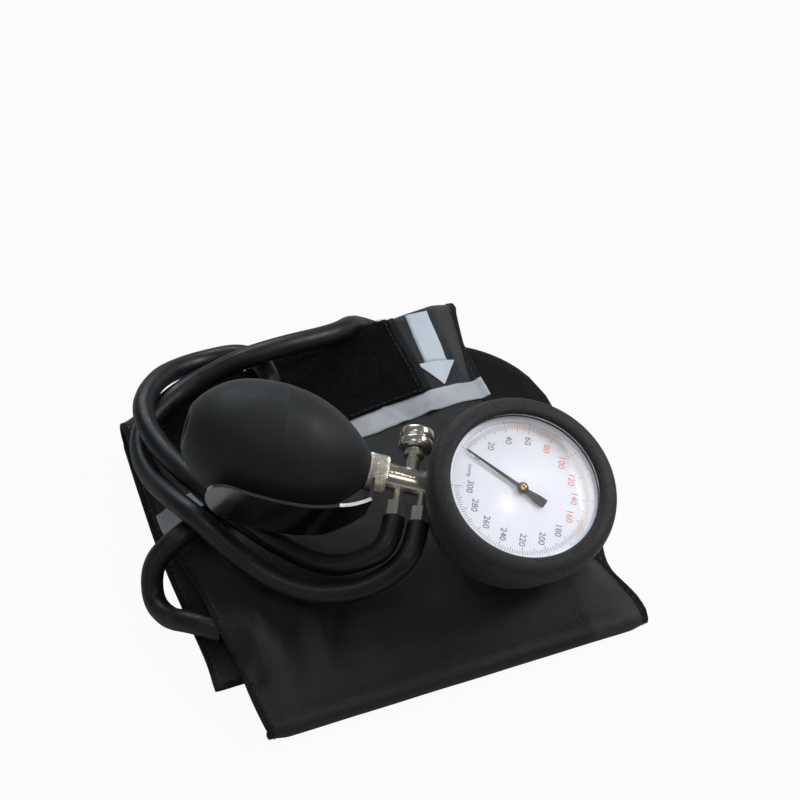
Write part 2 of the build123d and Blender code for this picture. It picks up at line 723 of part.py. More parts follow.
save_in_gauge(knob, "release_knob")

# Finger spoon: a ring under the collar and a strip bent along the bulb
spoon_lean = [math.radians(angle) for angle in spoon_angles]
spoon_back = [
    (x - spoon_thickness * math.sin(lean), y + spoon_thickness * math.cos(lean))
    for (x, y), lean in zip(spoon_points, spoon_lean)
]
with BuildPart() as strip_made:
    with BuildSketch():
        with BuildLine():
            Spline(*[(x, -y) for x, y in spoon_points])
            Spline(*[(x, -y) for x, y in spoon_back])
            Line((spoon_points[0][0], -spoon_points[0][1]), (spoon_back[0][0], -spoon_back[0][1]))
            Line((spoon_points[-1][0], -spoon_points[-1][1]), (spoon_back[-1][0], -spoon_back[-1][1]))
        make_face()
    extrude(amount=spoon_width / 2, both=True)
spoon_far = spoon_points[-1][0]
spoon_near = spoon_points[0][0]
with BuildPart() as trim_made:
    with BuildSketch(Plane.XZ.offset(-2)):
        with BuildLine():
            Polyline(
                (spoon_near + 1, -spoon_neck_width / 2), (spoon_near + 1, spoon_neck_width / 2),
                (spoon_points[2][0], spoon_width / 2), (spoon_far + spoon_width * 0.35, spoon_width / 2),
            )
            ThreePointArc(
                (spoon_far + spoon_width * 0.35, spoon_width / 2), (spoon_far, 0),
                (spoon_far + spoon_width * 0.35, -spoon_width / 2),
            )
            Polyline(
                (spoon_far + spoon_width * 0.35, -spoon_width / 2), (spoon_points[2][0], -spoon_width / 2),
                (spoon_near + 1, -spoon_neck_width / 2),
            )
        make_face()
    extrude(amount=40)
spoon = strip_made.part & trim_made.part
spoon_ring = rod(spoon_ring_radius, bulb_neck_end + 0.1, collar_start - 0.02, fitting_radius + thin_gap)
spoon_tab_low = spoon_ring_radius - 1.0
spoon_tab_high = spoon_points[0][1] + 1.2
spoon_tab = Pos((bulb_neck_end + 0.1 + collar_start - 0.02) / 2, -(spoon_tab_low + spoon_tab_high) / 2, 0)
spoon_tab = spoon_tab * Box(
    collar_start - bulb_neck_end - 0.12, spoon_tab_high - spoon_tab_low, spoon_neck_width,
)
save_in_gauge(Rot(spoon_turn, 0, 0) * (spoon + spoon_ring + spoon_tab), "finger_spoon")

# Squeeze bulb: hollow, thick walled, open at its neck and at the inlet valve
neck_inner = fitting_radius + 0.15
inlet_seat = inlet_radius + thin_gap
inlet_seat_end = bulb_far_end + inlet_length - 2


def arcs_through(points):
    """Arcs through an outline's points, three at a time."""
    for first, middle, last in zip(points[::2], points[1::2], points[2::2]):
        ThreePointArc(first, middle, last)


with BuildPart() as bulb_made:
    with BuildSketch(Plane.XY):
        with BuildLine():
            outside = [(bulb_neck_end, bulb_neck_radius), *bulb_outline, (bulb_far_end, bulb_end_radius)]
            inside = [(x, y - bulb_wall) for x, y in bulb_cavity]
            arcs_through(outside)
            Polyline(
                outside[-1], (bulb_far_end, inlet_seat), (inlet_seat_end, inlet_seat), inside[-1],
            )
            arcs_through(inside)
            Polyline(inside[0], (fitting_end, neck_inner), (bulb_neck_end, neck_inner), outside[0])
        make_face()
    revolve(axis=Axis.X)
save_in_gauge(bulb_made.part, "squeeze_bulb")

# Inlet valve in the far end of the bulb: body, flap and dust screen
inlet_inner_end = bulb_far_end + inlet_length
inlet_face = bulb_far_end + inlet_recess
inlet_body = rod(inlet_radius, inlet_face, inlet_inner_end)
inlet_body = inlet_body - rod(flap_chamber_radius, inlet_face + 3.0, inlet_inner_end - 1.2)
inlet_body = inlet_body - rod(1.6, inlet_face - 3, inlet_inner_end + 1)
inlet_body = inlet_body - rod(3.6, inlet_face - 3, inlet_face + 1.0)
save_in_gauge(inlet_body, "inlet_valve_body")
save_in_gauge(rod(inlet_flap_radius, inlet_face + 3.02, inlet_face + 3.0 + flap_thickness), "inlet_flap")
screen = rod(3.55, inlet_face + 0.5, inlet_face + 0.98)
save_in_gauge(screen, "inlet_screen")


# Cuff cover: one strip folded in three. Its left and right sections differ only in where the back
# fold lies, so the strip is ruled from one to the other.
def cuff_section(x, back):
    fold_top = cuff_top - layer_thickness
    inner_lift = (fold_top - middle_bottom - layer_thickness) / 2
    middle_top = middle_bottom + layer_thickness
    outer_lift = (cuff_top - middle_bottom) / 2
    fold_y = back - outer_lift
    shoulder_under = ramp_shoulder_height - layer_thickness + 0.9
    front_lift = front_fold_height / 2
    front_y = cuff_front + front_lift
    top_under = front_lift + 0.5
    with BuildSketch(Plane(origin=(x, 0, 0), x_dir=(0, 1, 0), z_dir=(1, 0, 0))) as section:
        with BuildLine():
            Line((back - 6, 0), (front_y, 0))
            ThreePointArc((front_y, 0), (cuff_front, front_lift), (front_y, front_fold_height))
            Polyline(
                (front_y, front_fold_height), (ramp_foot, front_fold_height),
                (ramp_shoulder, ramp_shoulder_height), (plateau_start, cuff_top), (fold_y, cuff_top),
            )
            ThreePointArc((fold_y, cuff_top), (back, cuff_top - outer_lift), (fold_y, middle_bottom))
            Polyline(
                (fold_y, middle_bottom), (middle_end, middle_bottom), (middle_end, middle_top),
                (fold_y, middle_top),
            )
            ThreePointArc(
                (fold_y, middle_top), (fold_y + inner_lift, middle_top + inner_lift), (fold_y, fold_top),
            )
            Polyline(
                (fold_y, fold_top), (plateau_start, fold_top), (ramp_shoulder - 1.0, shoulder_under),
                (ramp_foot, top_under), (front_y, top_under),
            )
            ThreePointArc((front_y, top_under), (front_y - 0.5, front_lift), (front_y, tongue_thickness))
            Polyline((front_y, tongue_thickness), (back - 6, tongue_thickness), (back - 6, 0))
        make_face()
    return section.sketch


def pocket_section(x, back, inset, end_inset):
    """The pocket's section, or the bladder's, which is the same shape drawn in by the insets."""
    top_high = cuff_top - panel - inset
    top_low = cuff_top - layer_thickness + panel + inset
    middle_low = middle_bottom + panel + inset
    middle_high = middle_bottom + layer_thickness - panel - inset
    fold_y = back - (cuff_top - middle_bottom) / 2
    outer_lift = (top_high - middle_low) / 2
    inner_lift = (top_low - middle_high) / 2
    middle_z = (cuff_top + middle_bottom) / 2
    with BuildSketch(Plane(origin=(x, 0, 0), x_dir=(0, 1, 0), z_dir=(1, 0, 0))) as section:
        with BuildLine():
            Polyline(
                (fold_y, top_low), (pocket_top_end + end_inset, top_low),
                (pocket_top_end + end_inset, top_high),
                (fold_y, top_high),
            )
            ThreePointArc((fold_y, top_high), (fold_y + outer_lift, middle_z), (fold_y, middle_low))
            Polyline(
                (fold_y, middle_low), (pocket_middle_end + end_inset, middle_low),
                (pocket_middle_end + end_inset, middle_high), (fold_y, middle_high),
            )
            ThreePointArc((fold_y, middle_high), (fold_y + inner_lift, middle_z), (fold_y, top_low))
        make_face()
    return section.sketch


def back_at(x):
    """Where the back fold lies at a place across the cuff."""
    share = (x + profile_half) / (2 * profile_half)
    return cuff_back_left + share * (cuff_back_right - cuff_back_left)


def prism(points, low, high):
    with BuildPart() as made:
        with BuildSketch(Plane.XY.offset(low)):
            with BuildLine():
                Polyline(*points, close=True)
            make_face()
        extrude(amount=high - low)
    return made.part


folded = loft(
    [cuff_section(-profile_half, cuff_back_left).face(), cuff_section(profile_half, cuff_back_right).face()],
    ruled=True,
)
layer_split = 4.0
middle_split = 10.8
far = 120.0
with BuildPart() as tongue_made:
    with BuildSketch(Plane.XY.offset(-1)):
        with BuildLine():
            left = cuff_half_width - tongue_width
            corner = tongue_corner_radius
            slant = corner * (1 - math.sqrt(0.5))
            Polyline((left + corner, tongue_back), (cuff_half_width - corner, tongue_back))
            ThreePointArc(
                (cuff_half_width - corner, tongue_back), (cuff_half_width - slant, tongue_back - slant),
                (cuff_half_width, tongue_back - corner),
            )
            Polyline(
                (cuff_half_width, tongue_back - corner), *tongue_right_edge, *tongue_left_edge,
                (left, tongue_back - corner),
            )
            ThreePointArc(
                (left, tongue_back - corner), (left + slant, tongue_back - slant), (left + corner, tongue_back),
            )
        make_face()
    extrude(amount=1 + layer_split)
tongue_length = Box(2 * profile_half, tongue_back, tongue_thickness)
tongue_length = Pos(0, tongue_back / 2, tongue_thickness / 2) * tongue_length
middle_keep = prism(
    [
        (-77.5, far), *middle_left_edge, (-cuff_half_width, middle_end - 0.5),
        (middle_right_front, middle_end - 0.5), (middle_right_back, far),
    ],
    layer_split, middle_split,
)
top_keep = prism(
    [(-77.5, far), *top_left_edge, *top_right_edge, (62.0, far)],
    layer_split, cuff_top + 5,
)
top_keep = top_keep - prism(
    [(-far, far), (-far, middle_end - 0.5), (far, middle_end - 0.5), (far, far)], layer_split - 1, middle_split,
)
cover = (folded & middle_keep) + (folded & top_keep) + ((folded + tongue_length) & tongue_made.part)
pocket = loft(
    [
        pocket_section(pocket_left, back_at(pocket_left), 0, 0).face(),
        pocket_section(pocket_right, back_at(pocket_right), 0, 0).face(),
    ],
    ruled=True,
)
cover = cover - pocket
side_turn = Pos(*side_port_place) * Rot(0, 0, side_port_heading)
cover = cover - side_turn * Rot(0, 90, 0) * ring(port_radius + thin_gap, 0, 0, side_port_length + thin_gap)
save(cover, "cuff_cover")
bladder = loft(
    [
        pocket_section(pocket_left + loose_gap, back_at(pocket_left), loose_gap, 1.0).face(),
        pocket_section(pocket_right - loose_gap, back_at(pocket_right), loose_gap, 1.0).face(),
    ],
    ruled=True,
)
save(bladder, "bladder")

# Fastening patches: pile on the outside, hooks on the inner face of the rounded end
pile = prism(
    [
        (patch_left, patch_front_left), (patch_right, patch_front_right), (patch_right, patch_back_right),
        (patch_left, patch_back_left),
    ],
    cuff_top, cuff_top + patch_height,
)
save(pile, "loop_patch")
hooks = prism(
    [
        (hook_left, hook_front), (hook_right, hook_front), (hook_right, hook_back - 12),
        (hook_right - 14, hook_back), (hook_left, hook_back),
    ],
    tongue_thickness, tongue_thickness + patch_height,
)
save(hooks, "hook_patch")

# Index stripe and artery arrow
stripe_front = [(x, y - stripe_width / 2) for x, y in stripe_line]
stripe_back = [(x, y + stripe_width / 2) for x, y in reversed(stripe_line)]
stripe = prism(stripe_front + stripe_back, cuff_top, cuff_top + mark_height)
save(stripe & top_keep, "index_stripe")
arrow_neck = arrow_length - arrow_head_length
arrow = prism(
    [
        (0, 0), (-arrow_head_length, arrow_head_width / 2), (-arrow_head_length, arrow_shaft_width / 2),
        (-arrow_length, arrow_shaft_width / 2), (-arrow_length, -arrow_shaft_width / 2),
        (-arrow_head_length, -arrow_shaft_width / 2), (-arrow_head_length, -arrow_head_width / 2),
    ],
    0, mark_height,
)
save(Pos(*arrow_tip, cuff_top) * Rot(0, 0, arrow_heading) * arrow, "artery_arrow")


# Tube ports: a short socket with a flat root that goes into the cuff
def along_x(length, radius):
    return Pos(length / 2, 0, 0) * Rot(0, 90, 0) * Cylinder(radius, length)


side_port = side_turn * along_x(side_port_length, port_radius)
side_port = side_port - side_turn * along_x(side_port_length, nipple_bore_radius)
save(side_port, "side_tube_port")
back_turn = Pos(*back_port_place) * Rot(0, 0, back_port_heading)
back_port = back_turn * along_x(back_port_length, port_radius)
back_port = back_port - back_turn * along_x(back_port_length - 2, nipple_bore_radius)
save(back_port, "back_tube_port")


# Hoses: straight runs joined by tangent arcs, as large as the runs allow
def hose(points, node):
    vectors = [Vector(*p) for p in points]
    radii = []
    for before, here, after in zip(vectors, vectors[1:], vectors[2:]):
        turn = (here - before).get_angle(after - here)
        shorter = min((here - before).length, (after - here).length)
        radii.append(0.45 * shorter / math.tan(math.radians(turn / 2)))
    path = FilletPolyline(*vectors, radius=radii)
    start = Plane(origin=vectors[0], z_dir=vectors[1] - vectors[0])
    outside = start * Circle(hose_radius)
    tube = sweep(outside - start * Circle(hose_bore_radius), path=path)
    section = math.pi * (hose_radius ** 2 - hose_bore_radius ** 2)
    print(node, "length", round(path.length, 1), "volume share", round(tube.volume / section / path.length, 4))
    print("   radii", [round(r, 1) for r in radii])
    print("   runs", [round((b - a).length, 1) for a, b in zip(vectors, vectors[1:])])
    save(tube, node)


def in_gauge(x, y, z):
    place = gauge_frame.from_local_coords(Vector(x, y, z))
    return (place.X, place.Y, place.Z)


def port_lead(place, heading, reach):
    """A point straight before a port, so that its hose runs in square."""
    turn = math.radians(heading)
    return (place[0] - reach * math.cos(turn), place[1] - reach * math.sin(turn), place[2])


hose(
    [in_gauge(nut_one_x, -nut_outer_end, 0), in_gauge(nut_one_x, -nut_outer_end - 10, 0), *hose_one_route,
     port_lead(side_port_place, side_port_heading, 8), side_port_place],
    "hose_one",
)
hose(
    [in_gauge(nut_two_x, -nut_outer_end, 0), in_gauge(nut_two_x, -nut_outer_end - 10, 0), *hose_two_route,
     port_lead(back_port_place, back_port_heading, 9), back_port_place],
    "hose_two",
)
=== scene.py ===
import json
from math import cos, dist, exp, pi, radians, sin, sqrt
import bmesh
import bpy
from mathutils import Matrix, Vector, noise

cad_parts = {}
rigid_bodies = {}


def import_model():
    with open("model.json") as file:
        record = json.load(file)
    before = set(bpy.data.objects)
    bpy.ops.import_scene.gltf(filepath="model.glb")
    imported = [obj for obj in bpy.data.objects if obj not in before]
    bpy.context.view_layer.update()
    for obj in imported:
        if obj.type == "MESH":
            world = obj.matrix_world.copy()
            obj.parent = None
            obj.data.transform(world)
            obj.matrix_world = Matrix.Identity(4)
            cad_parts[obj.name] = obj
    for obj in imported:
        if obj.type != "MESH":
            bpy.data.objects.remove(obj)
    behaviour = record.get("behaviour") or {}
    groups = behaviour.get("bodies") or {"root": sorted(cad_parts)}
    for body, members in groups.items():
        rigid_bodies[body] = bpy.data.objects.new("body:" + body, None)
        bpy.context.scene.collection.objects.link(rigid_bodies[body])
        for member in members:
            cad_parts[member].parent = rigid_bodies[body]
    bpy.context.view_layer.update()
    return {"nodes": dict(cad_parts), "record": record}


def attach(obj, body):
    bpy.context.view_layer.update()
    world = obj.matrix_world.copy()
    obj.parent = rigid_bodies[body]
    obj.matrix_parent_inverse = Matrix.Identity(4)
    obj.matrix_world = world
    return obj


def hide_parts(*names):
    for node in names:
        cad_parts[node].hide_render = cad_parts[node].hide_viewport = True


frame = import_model()

# Sizes are in millimetres until place() or gauge_point() turns them into metres.
FRAME_SHIFT = 8.9
STEM_CENTRE = (35.9, -32.5, 34.2)
STEM_HEADING = -25.0
STEM_SLOPE = 16.3
STEM_ROLL = 15.9


def place(x, y, z):
    """A point drawn in the cuff's own layout, in metres."""
    return Vector((x, y - FRAME_SHIFT, z)) / 1000


def gauge_matrix():
    """Turns the gauge's own millimetres into metres: X along the valve, Z out of the dial."""
    heading, slope, roll = (radians(a) for a in (STEM_HEADING, STEM_SLOPE, STEM_ROLL))
    flat = cos(slope)
    along = Vector((flat * cos(heading), flat * sin(heading), -sin(slope)))
    level = Vector((-sin(heading), cos(heading), 0))
    normal = along.cross(level) * cos(roll) - level * sin(roll)
    side = normal.cross(along)
    turn = Matrix((along, side, normal)).transposed().to_4x4()
    return Matrix.Translation(place(*STEM_CENTRE)) @ turn @ Matrix.Scale(0.001, 4)


GAUGE = gauge_matrix()


def gauge_point(x, y, z):
    """A point drawn in the gauge's own layout, in metres."""
    return GAUGE @ Vector((x, y, z))


def new_object(name, data):
    made = bpy.data.objects.new(name, data)
    bpy.context.scene.collection.objects.link(made)
    return made


def blend(start, end, share):
    """The value at a share of the way from start to end."""
    return start + (end - start) * share


class Nodes:
    """Adds nodes to a tree. Each input is given as a plain value or as the socket that feeds it."""

    def __init__(self, tree):
        self.tree = tree

    def feed(self, socket, value):
        if isinstance(value, bpy.types.NodeSocket):
            self.tree.links.new(value, socket)
        else:
            socket.default_value = value

    def add(self, kind, inputs=None, **settings):
        """Adds one node and returns its outputs."""
        node = self.tree.nodes.new(kind)
        for setting, value in settings.items():
            setattr(node, setting, value)
        for socket, value in (inputs or {}).items():
            self.feed(node.inputs[socket], value)
        return node.outputs

    def maths(self, operation, *values):
        return self.add("ShaderNodeMath", dict(enumerate(values)), operation=operation)[0]

    def vector(self, **parts):
        return self.add("ShaderNodeCombineXYZ", parts)["Vector"]

    def split(self, vector):
        return self.add("ShaderNodeSeparateXYZ", {"Vector": vector})

    def mixed(self, share, first, second):
        """Two shaders mixed by the share of the second."""
        return self.add("ShaderNodeMixShader", {0: share, 1: first, 2: second})["Shader"]

    def show(self, surface, output="Material Output"):
        self.feed(self.tree.nodes[output].inputs["Surface"], surface)


# Materials


class Finish(Nodes):
    """A material that is built up node by node from the shader's own sockets."""

    def __init__(self, name, colour, roughness, metallic=0.0, specular=0.5, **sockets):
        self.material = bpy.data.materials.new(name)
        self.material.use_nodes = True
        super().__init__(self.material.node_tree)
        self.shader = self.tree.nodes["Principled BSDF"]
        self.set(Base_Color=(*colour, 1.0), Roughness=roughness, Metallic=metallic)
        self.set(Specular_IOR_Level=specular, **sockets)
        self.coordinates = self.add("ShaderNodeTexCoord")["Object"]
        self.height = None

    def set(self, **sockets):
        for socket, value in sockets.items():
            self.feed(self.shader.inputs[socket.replace("_", " ")], value)

    def noise(self, scale, detail=3.0, roughness=0.5):
        inputs = {"Scale": scale, "Detail": detail, "Roughness": roughness, "Vector": self.coordinates}
        return self.add("ShaderNodeTexNoise", inputs)["Fac"]

    def woven(self):
        """The cloth's own coordinates in millimetres, as a vector."""
        return self.add("ShaderNodeUVMap", uv_map="weave")["UV"]

    def threads(self, scale, direction):
        """Bands along one direction of the cloth."""
        inputs = {"Scale": scale, "Vector": self.woven()}
        return self.add("ShaderNodeTexWave", inputs, bands_direction=direction)["Fac"]

    def ramp(self, value, low, high, low_out=0.0, high_out=1.0):
        inputs = {"Value": value, "From Min": low, "From Max": high, "To Min": low_out, "To Max": high_out}
        return self.add("ShaderNodeMapRange", inputs)["Result"]

    def colours(self, value, *colours, at=(0.3, 0.75)):
        """Stains the finish with colours that lie at the given places of a value."""
        stain = self.add("ShaderNodeValToRGB", {"Fac": value})["Color"]
        elements = stain.node.color_ramp.elements
        while len(elements) < len(colours):
            elements.new(0.5)
        for element, position, colour in zip(elements, at, colours):
            element.position = position
            element.color = (*colour, 1.0)
        self.set(Base_Color=stain)
        return self

    def rough(self, value, smoothest, roughest, low=0.3, high=0.7):
        self.set(Roughness=self.ramp(value, low, high, smoothest, roughest))
        return self

    def bump(self, value, distance, strength=1.0):
        """Adds relief, where the distance is the relief's full height in metres."""
        inputs = {"Distance": distance, "Strength": strength, "Height": value}
        if self.height is not None:
            inputs["Normal"] = self.height
        self.height = self.add("ShaderNodeBump", inputs)["Normal"]
        self.set(Normal=self.height)
        return self


def bumper_rubber():
    f = Finish("bumper_rubber", (0.011, 0.011, 0.012), 0.6, specular=0.45)
    f.set(Sheen_Weight=0.05, Sheen_Roughness=0.5)
    f.colours(f.noise(900, 4.0), (0.006, 0.006, 0.0065), (0.017, 0.017, 0.019))
    f.rough(f.noise(700, 3.0), 0.5, 0.68)
    return f.bump(f.noise(2600, 2.0, 0.6), 0.00022, 0.55).bump(f.noise(260, 3.0), 0.0002, 0.3).material


def case_metal():
    f = Finish("case_metal", (0.05, 0.05, 0.055), 0.4)
    f.colours(f.noise(220), (0.035, 0.035, 0.04), (0.06, 0.06, 0.065), at=(0.35, 0.7))
    return f.rough(f.noise(400), 0.32, 0.5).bump(f.noise(1500), 0.00005, 0.3).material


def clear_cover():
    """Clear plastic that lets lamps through, with a slightly hazed outer skin."""
    f = Finish("clear_cover", (1.0, 1.0, 1.0), 0.03, specular=0.2, IOR=1.49, Transmission_Weight=1.0)
    f.set(Coat_Weight=0.7, Coat_Roughness=0.14)
    f.rough(f.noise(60), 0.01, 0.05, 0.3, 0.75)
    shadow = f.add("ShaderNodeLightPath")["Is Shadow Ray"]
    through = f.add("ShaderNodeBsdfTransparent")["BSDF"]
    f.show(f.mixed(shadow, f.shader.outputs["BSDF"], through))
    return f.material


def seal_rubber():
    f = Finish("seal_rubber", (0.04, 0.04, 0.04), 0.7)
    f.colours(f.noise(500), (0.03, 0.03, 0.03), (0.055, 0.055, 0.055), at=(0.3, 0.7))
    return f.bump(f.noise(1800), 0.0001, 0.4).material


def chrome(name, colour=(0.74, 0.73, 0.71), smooth=0.1, dull=0.22, metallic=1.0):
    f = Finish(name, colour, 0.16, metallic=metallic)
    dark = tuple(c * 0.9 for c in colour)
    f.colours(f.noise(140, 4.0), dark, colour, at=(0.35, 0.6))
    f.rough(f.noise(180, 5.0, 0.6), smooth, dull, 0.3, 0.75)
    return f.bump(f.noise(2400, 2.0), 0.00002, 0.25).material


def knurled_chrome():
    f = Finish("valve_knurls", (0.72, 0.67, 0.60), 0.3, metallic=0.8)
    dark, middle, light = (0.52, 0.48, 0.42), (0.74, 0.69, 0.62), (0.84, 0.80, 0.74)
    f.colours(f.noise(700, 4.0), dark, middle, light, at=(0.3, 0.6, 0.9))
    return f.rough(f.noise(900, 3.0), 0.22, 0.4).bump(f.noise(1600, 3.0), 0.0001, 0.3).material


def plain(name, colour, roughness, metallic=1.0):
    """A plain finish for pieces that are hardly seen."""
    f = Finish(name, colour, roughness, metallic)
    dark = tuple(c * 0.8 for c in colour)
    f.colours(f.noise(300, 4.0), dark, colour, at=(0.3, 0.7))
    f.rough(f.noise(600), roughness * 0.8, roughness * 1.3)
    return f.bump(f.noise(2000), 0.00003, 0.3).material


def dial_white():
    f = Finish("dial_white", (0.90, 0.92, 1.0), 0.5, specular=0.3)
    f.colours(f.noise(35, 2.0), (0.84, 0.86, 0.95), (0.88, 0.90, 0.98), at=(0.3, 0.7))
    return f.rough(f.noise(300), 0.42, 0.58).bump(f.noise(2500), 0.00002, 0.3).material


def dial_ink(name, colour):
    f = Finish(name, colour, 0.55, specular=0.3)
    light = tuple(min(1.0, c * 1.25 + 0.01) for c in colour)
    return f.colours(f.noise(1500, 3.0), colour, light, at=(0.35, 0.75)).material


def pointer_black():
    f = Finish("pointer_black", (0.03, 0.03, 0.035), 0.4)
    return f.colours(f.noise(400), (0.022, 0.022, 0.026), (0.045, 0.045, 0.05), at=(0.3, 0.7)).material


def bulb_rubber():
    f = Finish("bulb_rubber", (0.006, 0.007, 0.0075), 0.58, specular=0.38)
    f.set(Sheen_Weight=0.05, Sheen_Roughness=0.5)
    f.colours(f.noise(45, 5.0, 0.6), (0.004, 0.0047, 0.005), (0.009, 0.0105, 0.0112))
    f.rough(f.noise(160, 5.0, 0.65), 0.5, 0.64)
    return f.bump(f.noise(1100, 3.0), 0.00007, 0.4).bump(f.noise(70, 2.0), 0.0003, 0.1).material


def hose_rubber(name="hose_rubber"):
    f = Finish(name, (0.008, 0.008, 0.009), 0.4, specular=0.45)
    f.colours(f.noise(60, 4.0), (0.004, 0.004, 0.005), (0.010, 0.011, 0.012))
    f.rough(f.noise(240, 4.0, 0.6), 0.34, 0.52)
    return f.bump(f.noise(1400, 3.0), 0.00006, 0.4).material


def cuff_nylon():
    """Plain-woven coated nylon: warp and weft, faint dust, a right margin made paler as painted sheen, and
    painted shade on the tongue, whose specular is turned down.
    """
    f = Finish("cuff_nylon", (0.006, 0.006, 0.006), 0.42, Sheen_Weight=0.06, Sheen_Roughness=0.35)
    f.set(Sheen_Tint=(0.90, 0.80, 0.72, 1.0))
    weave = f.maths("MULTIPLY", f.threads(2.2, "X"), f.threads(2.2, "Y"))
    across, along = f.split(f.woven())[:2]
    patches = f.noise(38, 4.0, 0.55)
    unshaded_layers = f.ramp(along, 157.0, 161.0)
    dust = f.ramp(f.noise(1900, 2.0, 0.7), 0.60, 0.76, 0.0, 0.7)
    # Painted sheen: right of the pocket seam and past the tongue, the cloth is lifted towards the palest
    # colour.
    painted_sheen_margin = f.maths("MULTIPLY", f.ramp(across, 49.0, 51.5, 0.0, 0.5), unshaded_layers)
    tone = f.maths("ADD", f.maths("ADD", dust, f.ramp(patches, 0.3, 0.7, 0.0, 0.35)), painted_sheen_margin)
    darkest, dark, dust_and_sheen = (0.0042, 0.0035, 0.0030), (0.0105, 0.0092, 0.0086), (0.050, 0.046, 0.043)
    f.colours(tone, darkest, dark, dust_and_sheen, at=(0.0, 0.5, 1.0))
    f.rough(f.maths("ADD", patches, f.ramp(weave, 0.0, 1.0, 0.0, 0.25)), 0.34, 0.52, 0.3, 0.95)
    # Painted shade: the tongue's specular is turned down so that it stays dark, while the other layers keep
    # full specular.
    f.set(Specular_IOR_Level=f.ramp(unshaded_layers, 0.0, 1.0, 0.12, 0.5))
    f.bump(weave, 0.00010, 0.6)
    return f.bump(f.noise(260, 4.0), 0.0004, 0.5).bump(f.noise(1500, 3.0), 0.00022, 0.9).material


def binding_tape():
    f = Finish("binding_tape", (0.005, 0.005, 0.0055), 0.75, specular=0.25, Sheen_Weight=0.03)
    f.colours(f.noise(300, 3.0), (0.0045, 0.0045, 0.005), (0.011, 0.011, 0.012))
    return f.bump(f.threads(3.0, "X"), 0.00012, 0.6).material


def stitch_thread():
    f = Finish("stitch_thread", (0.03, 0.03, 0.032), 0.5, Sheen_Weight=0.3)
    f.colours(f.noise(900, 3.0), (0.005, 0.005, 0.0055), (0.012, 0.012, 0.013))
    return f.bump(f.noise(3000, 2.0), 0.00008, 0.5).material


def pile_fabric(name="pile_fabric", colour=(0.0014, 0.0014, 0.0016)):
    f = Finish(name, colour, 0.9, specular=0.08, Sheen_Weight=0.03, Sheen_Roughness=0.6)
    light = tuple(c * 3.4 for c in colour)
    tone = f.maths("ADD", f.noise(950, 5.0, 0.7), f.ramp(f.noise(130, 3.0), 0.4, 0.7, -0.12, 0.12))
    f.colours(tone, colour, light, at=(0.38, 0.75))
    return f.bump(f.noise(1100, 5.0, 0.75), 0.0009, 0.8).material


def white_print(name="white_print", dark=(0.42, 0.465, 0.51), light=(0.56, 0.62, 0.70), paler_end=0.0):
    """Pale tape, which gets lighter towards the cuff's right side by the share given."""
    middle = tuple((a + b) / 2 for a, b in zip(dark, light))
    f = Finish(name, middle, 0.62, specular=0.35, Sheen_Weight=0.1)
    tone = f.maths("ADD", f.noise(55, 4.0), f.ramp(f.split(f.woven())[0], 0.0, 50.0, 0.0, paler_end))
    f.colours(tone, dark, middle, light, at=(0.3, 0.55, 0.85))
    return f.bump(f.noise(1500, 2.0), 0.00012, 0.5).bump(f.noise(220, 3.0), 0.0004, 0.3).material


MATERIALS = (
    bumper_rubber(), case_metal(), clear_cover(), seal_rubber(), chrome("bezel_chrome"), dial_white(),
    pointer_black(), plain("brass_plain", (0.80, 0.55, 0.25), 0.25),
    plain("spring_bronze", (0.62, 0.40, 0.22), 0.3), plain("steel_plain", (0.60, 0.60, 0.60), 0.28),
    plain("capsule_copper", (0.72, 0.42, 0.30), 0.35),
    chrome("valve_chrome", (0.78, 0.75, 0.67), 0.16, 0.26, 0.92),
    chrome("spoon_chrome", (0.32, 0.32, 0.32), 0.09, 0.18), bulb_rubber(),
    plain("screen_steel", (0.5, 0.5, 0.5), 0.4), cuff_nylon(),
    plain("bladder_rubber", (0.08, 0.08, 0.08), 0.6, metallic=0.0), pile_fabric(),
    pile_fabric("hook_fabric", (0.006, 0.006, 0.0065)), white_print(), hose_rubber("port_rubber"),
    hose_rubber(),
)
# The frame's own materials hold these names already, so Blender has put numbers behind them
FINISHES = {material.name.split(".")[0]: material for material in MATERIALS}
KNURLS = knurled_chrome()
STRIPE_PRINT = white_print("stripe_print", (0.16, 0.165, 0.17), (0.44, 0.465, 0.50), paler_end=0.26)
HUB = Finish("hub_dark", (0.05, 0.045, 0.04), 0.35, metallic=0.6).material
TAPE = binding_tape()
THREAD = stitch_thread()
INK_GREY = dial_ink("dial_ink_grey", (0.15, 0.15, 0.19))
INK_DARK = dial_ink("dial_ink_dark", (0.07, 0.08, 0.10))
INK_RED = dial_ink("dial_ink_red", (0.78, 0.22, 0.12))
INK_ORANGE = dial_ink("dial_ink_orange", (0.90, 0.36, 0.12))


def dress(node, material):
    """Gives a solid and the pieces under it one material."""
    for holder in (node, *node.children_recursive):
        for slot in holder.material_slots:
            slot.material = material


for entry in frame["record"]["subparts"]:
    dress(frame["nodes"][entry["node"]], FINISHES[entry["material_slot"]])
dress(frame["nodes"]["pointer_hub"], HUB)


# Mesh helpers


def make_piece(name, points, faces, material, uvs=None, smooth=True):
    mesh = bpy.data.meshes.new(name)
    mesh.from_pydata([tuple(p) for p in points], [], faces)
    mesh.materials.append(material)
    for polygon in mesh.polygons:
        polygon.use_smooth = smooth
    if uvs is not None:
        layer = mesh.uv_layers.new(name="weave")
        for loop in mesh.loops:
            layer.data[loop.index].uv = uvs[loop.vertex_index]
    mesh.update()
    return new_object(name, mesh)


def outward(piece):
    """Turns a closed mesh's faces outwards after its doubles are merged."""
    working = bmesh.new()
    working.from_mesh(piece.data)
    bmesh.ops.remove_doubles(working, verts=working.verts, dist=1e-7)
    bmesh.ops.recalc_face_normals(working, faces=working.faces)
    working.to_mesh(piece.data)
    working.free()
    return piece


def finished(piece, replaces=(), body="instrument"):
    """Attaches a piece to the body that it rides on and hides the nodes that it stands for."""
    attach(piece, body)
    if replaces:
        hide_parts(*replaces)


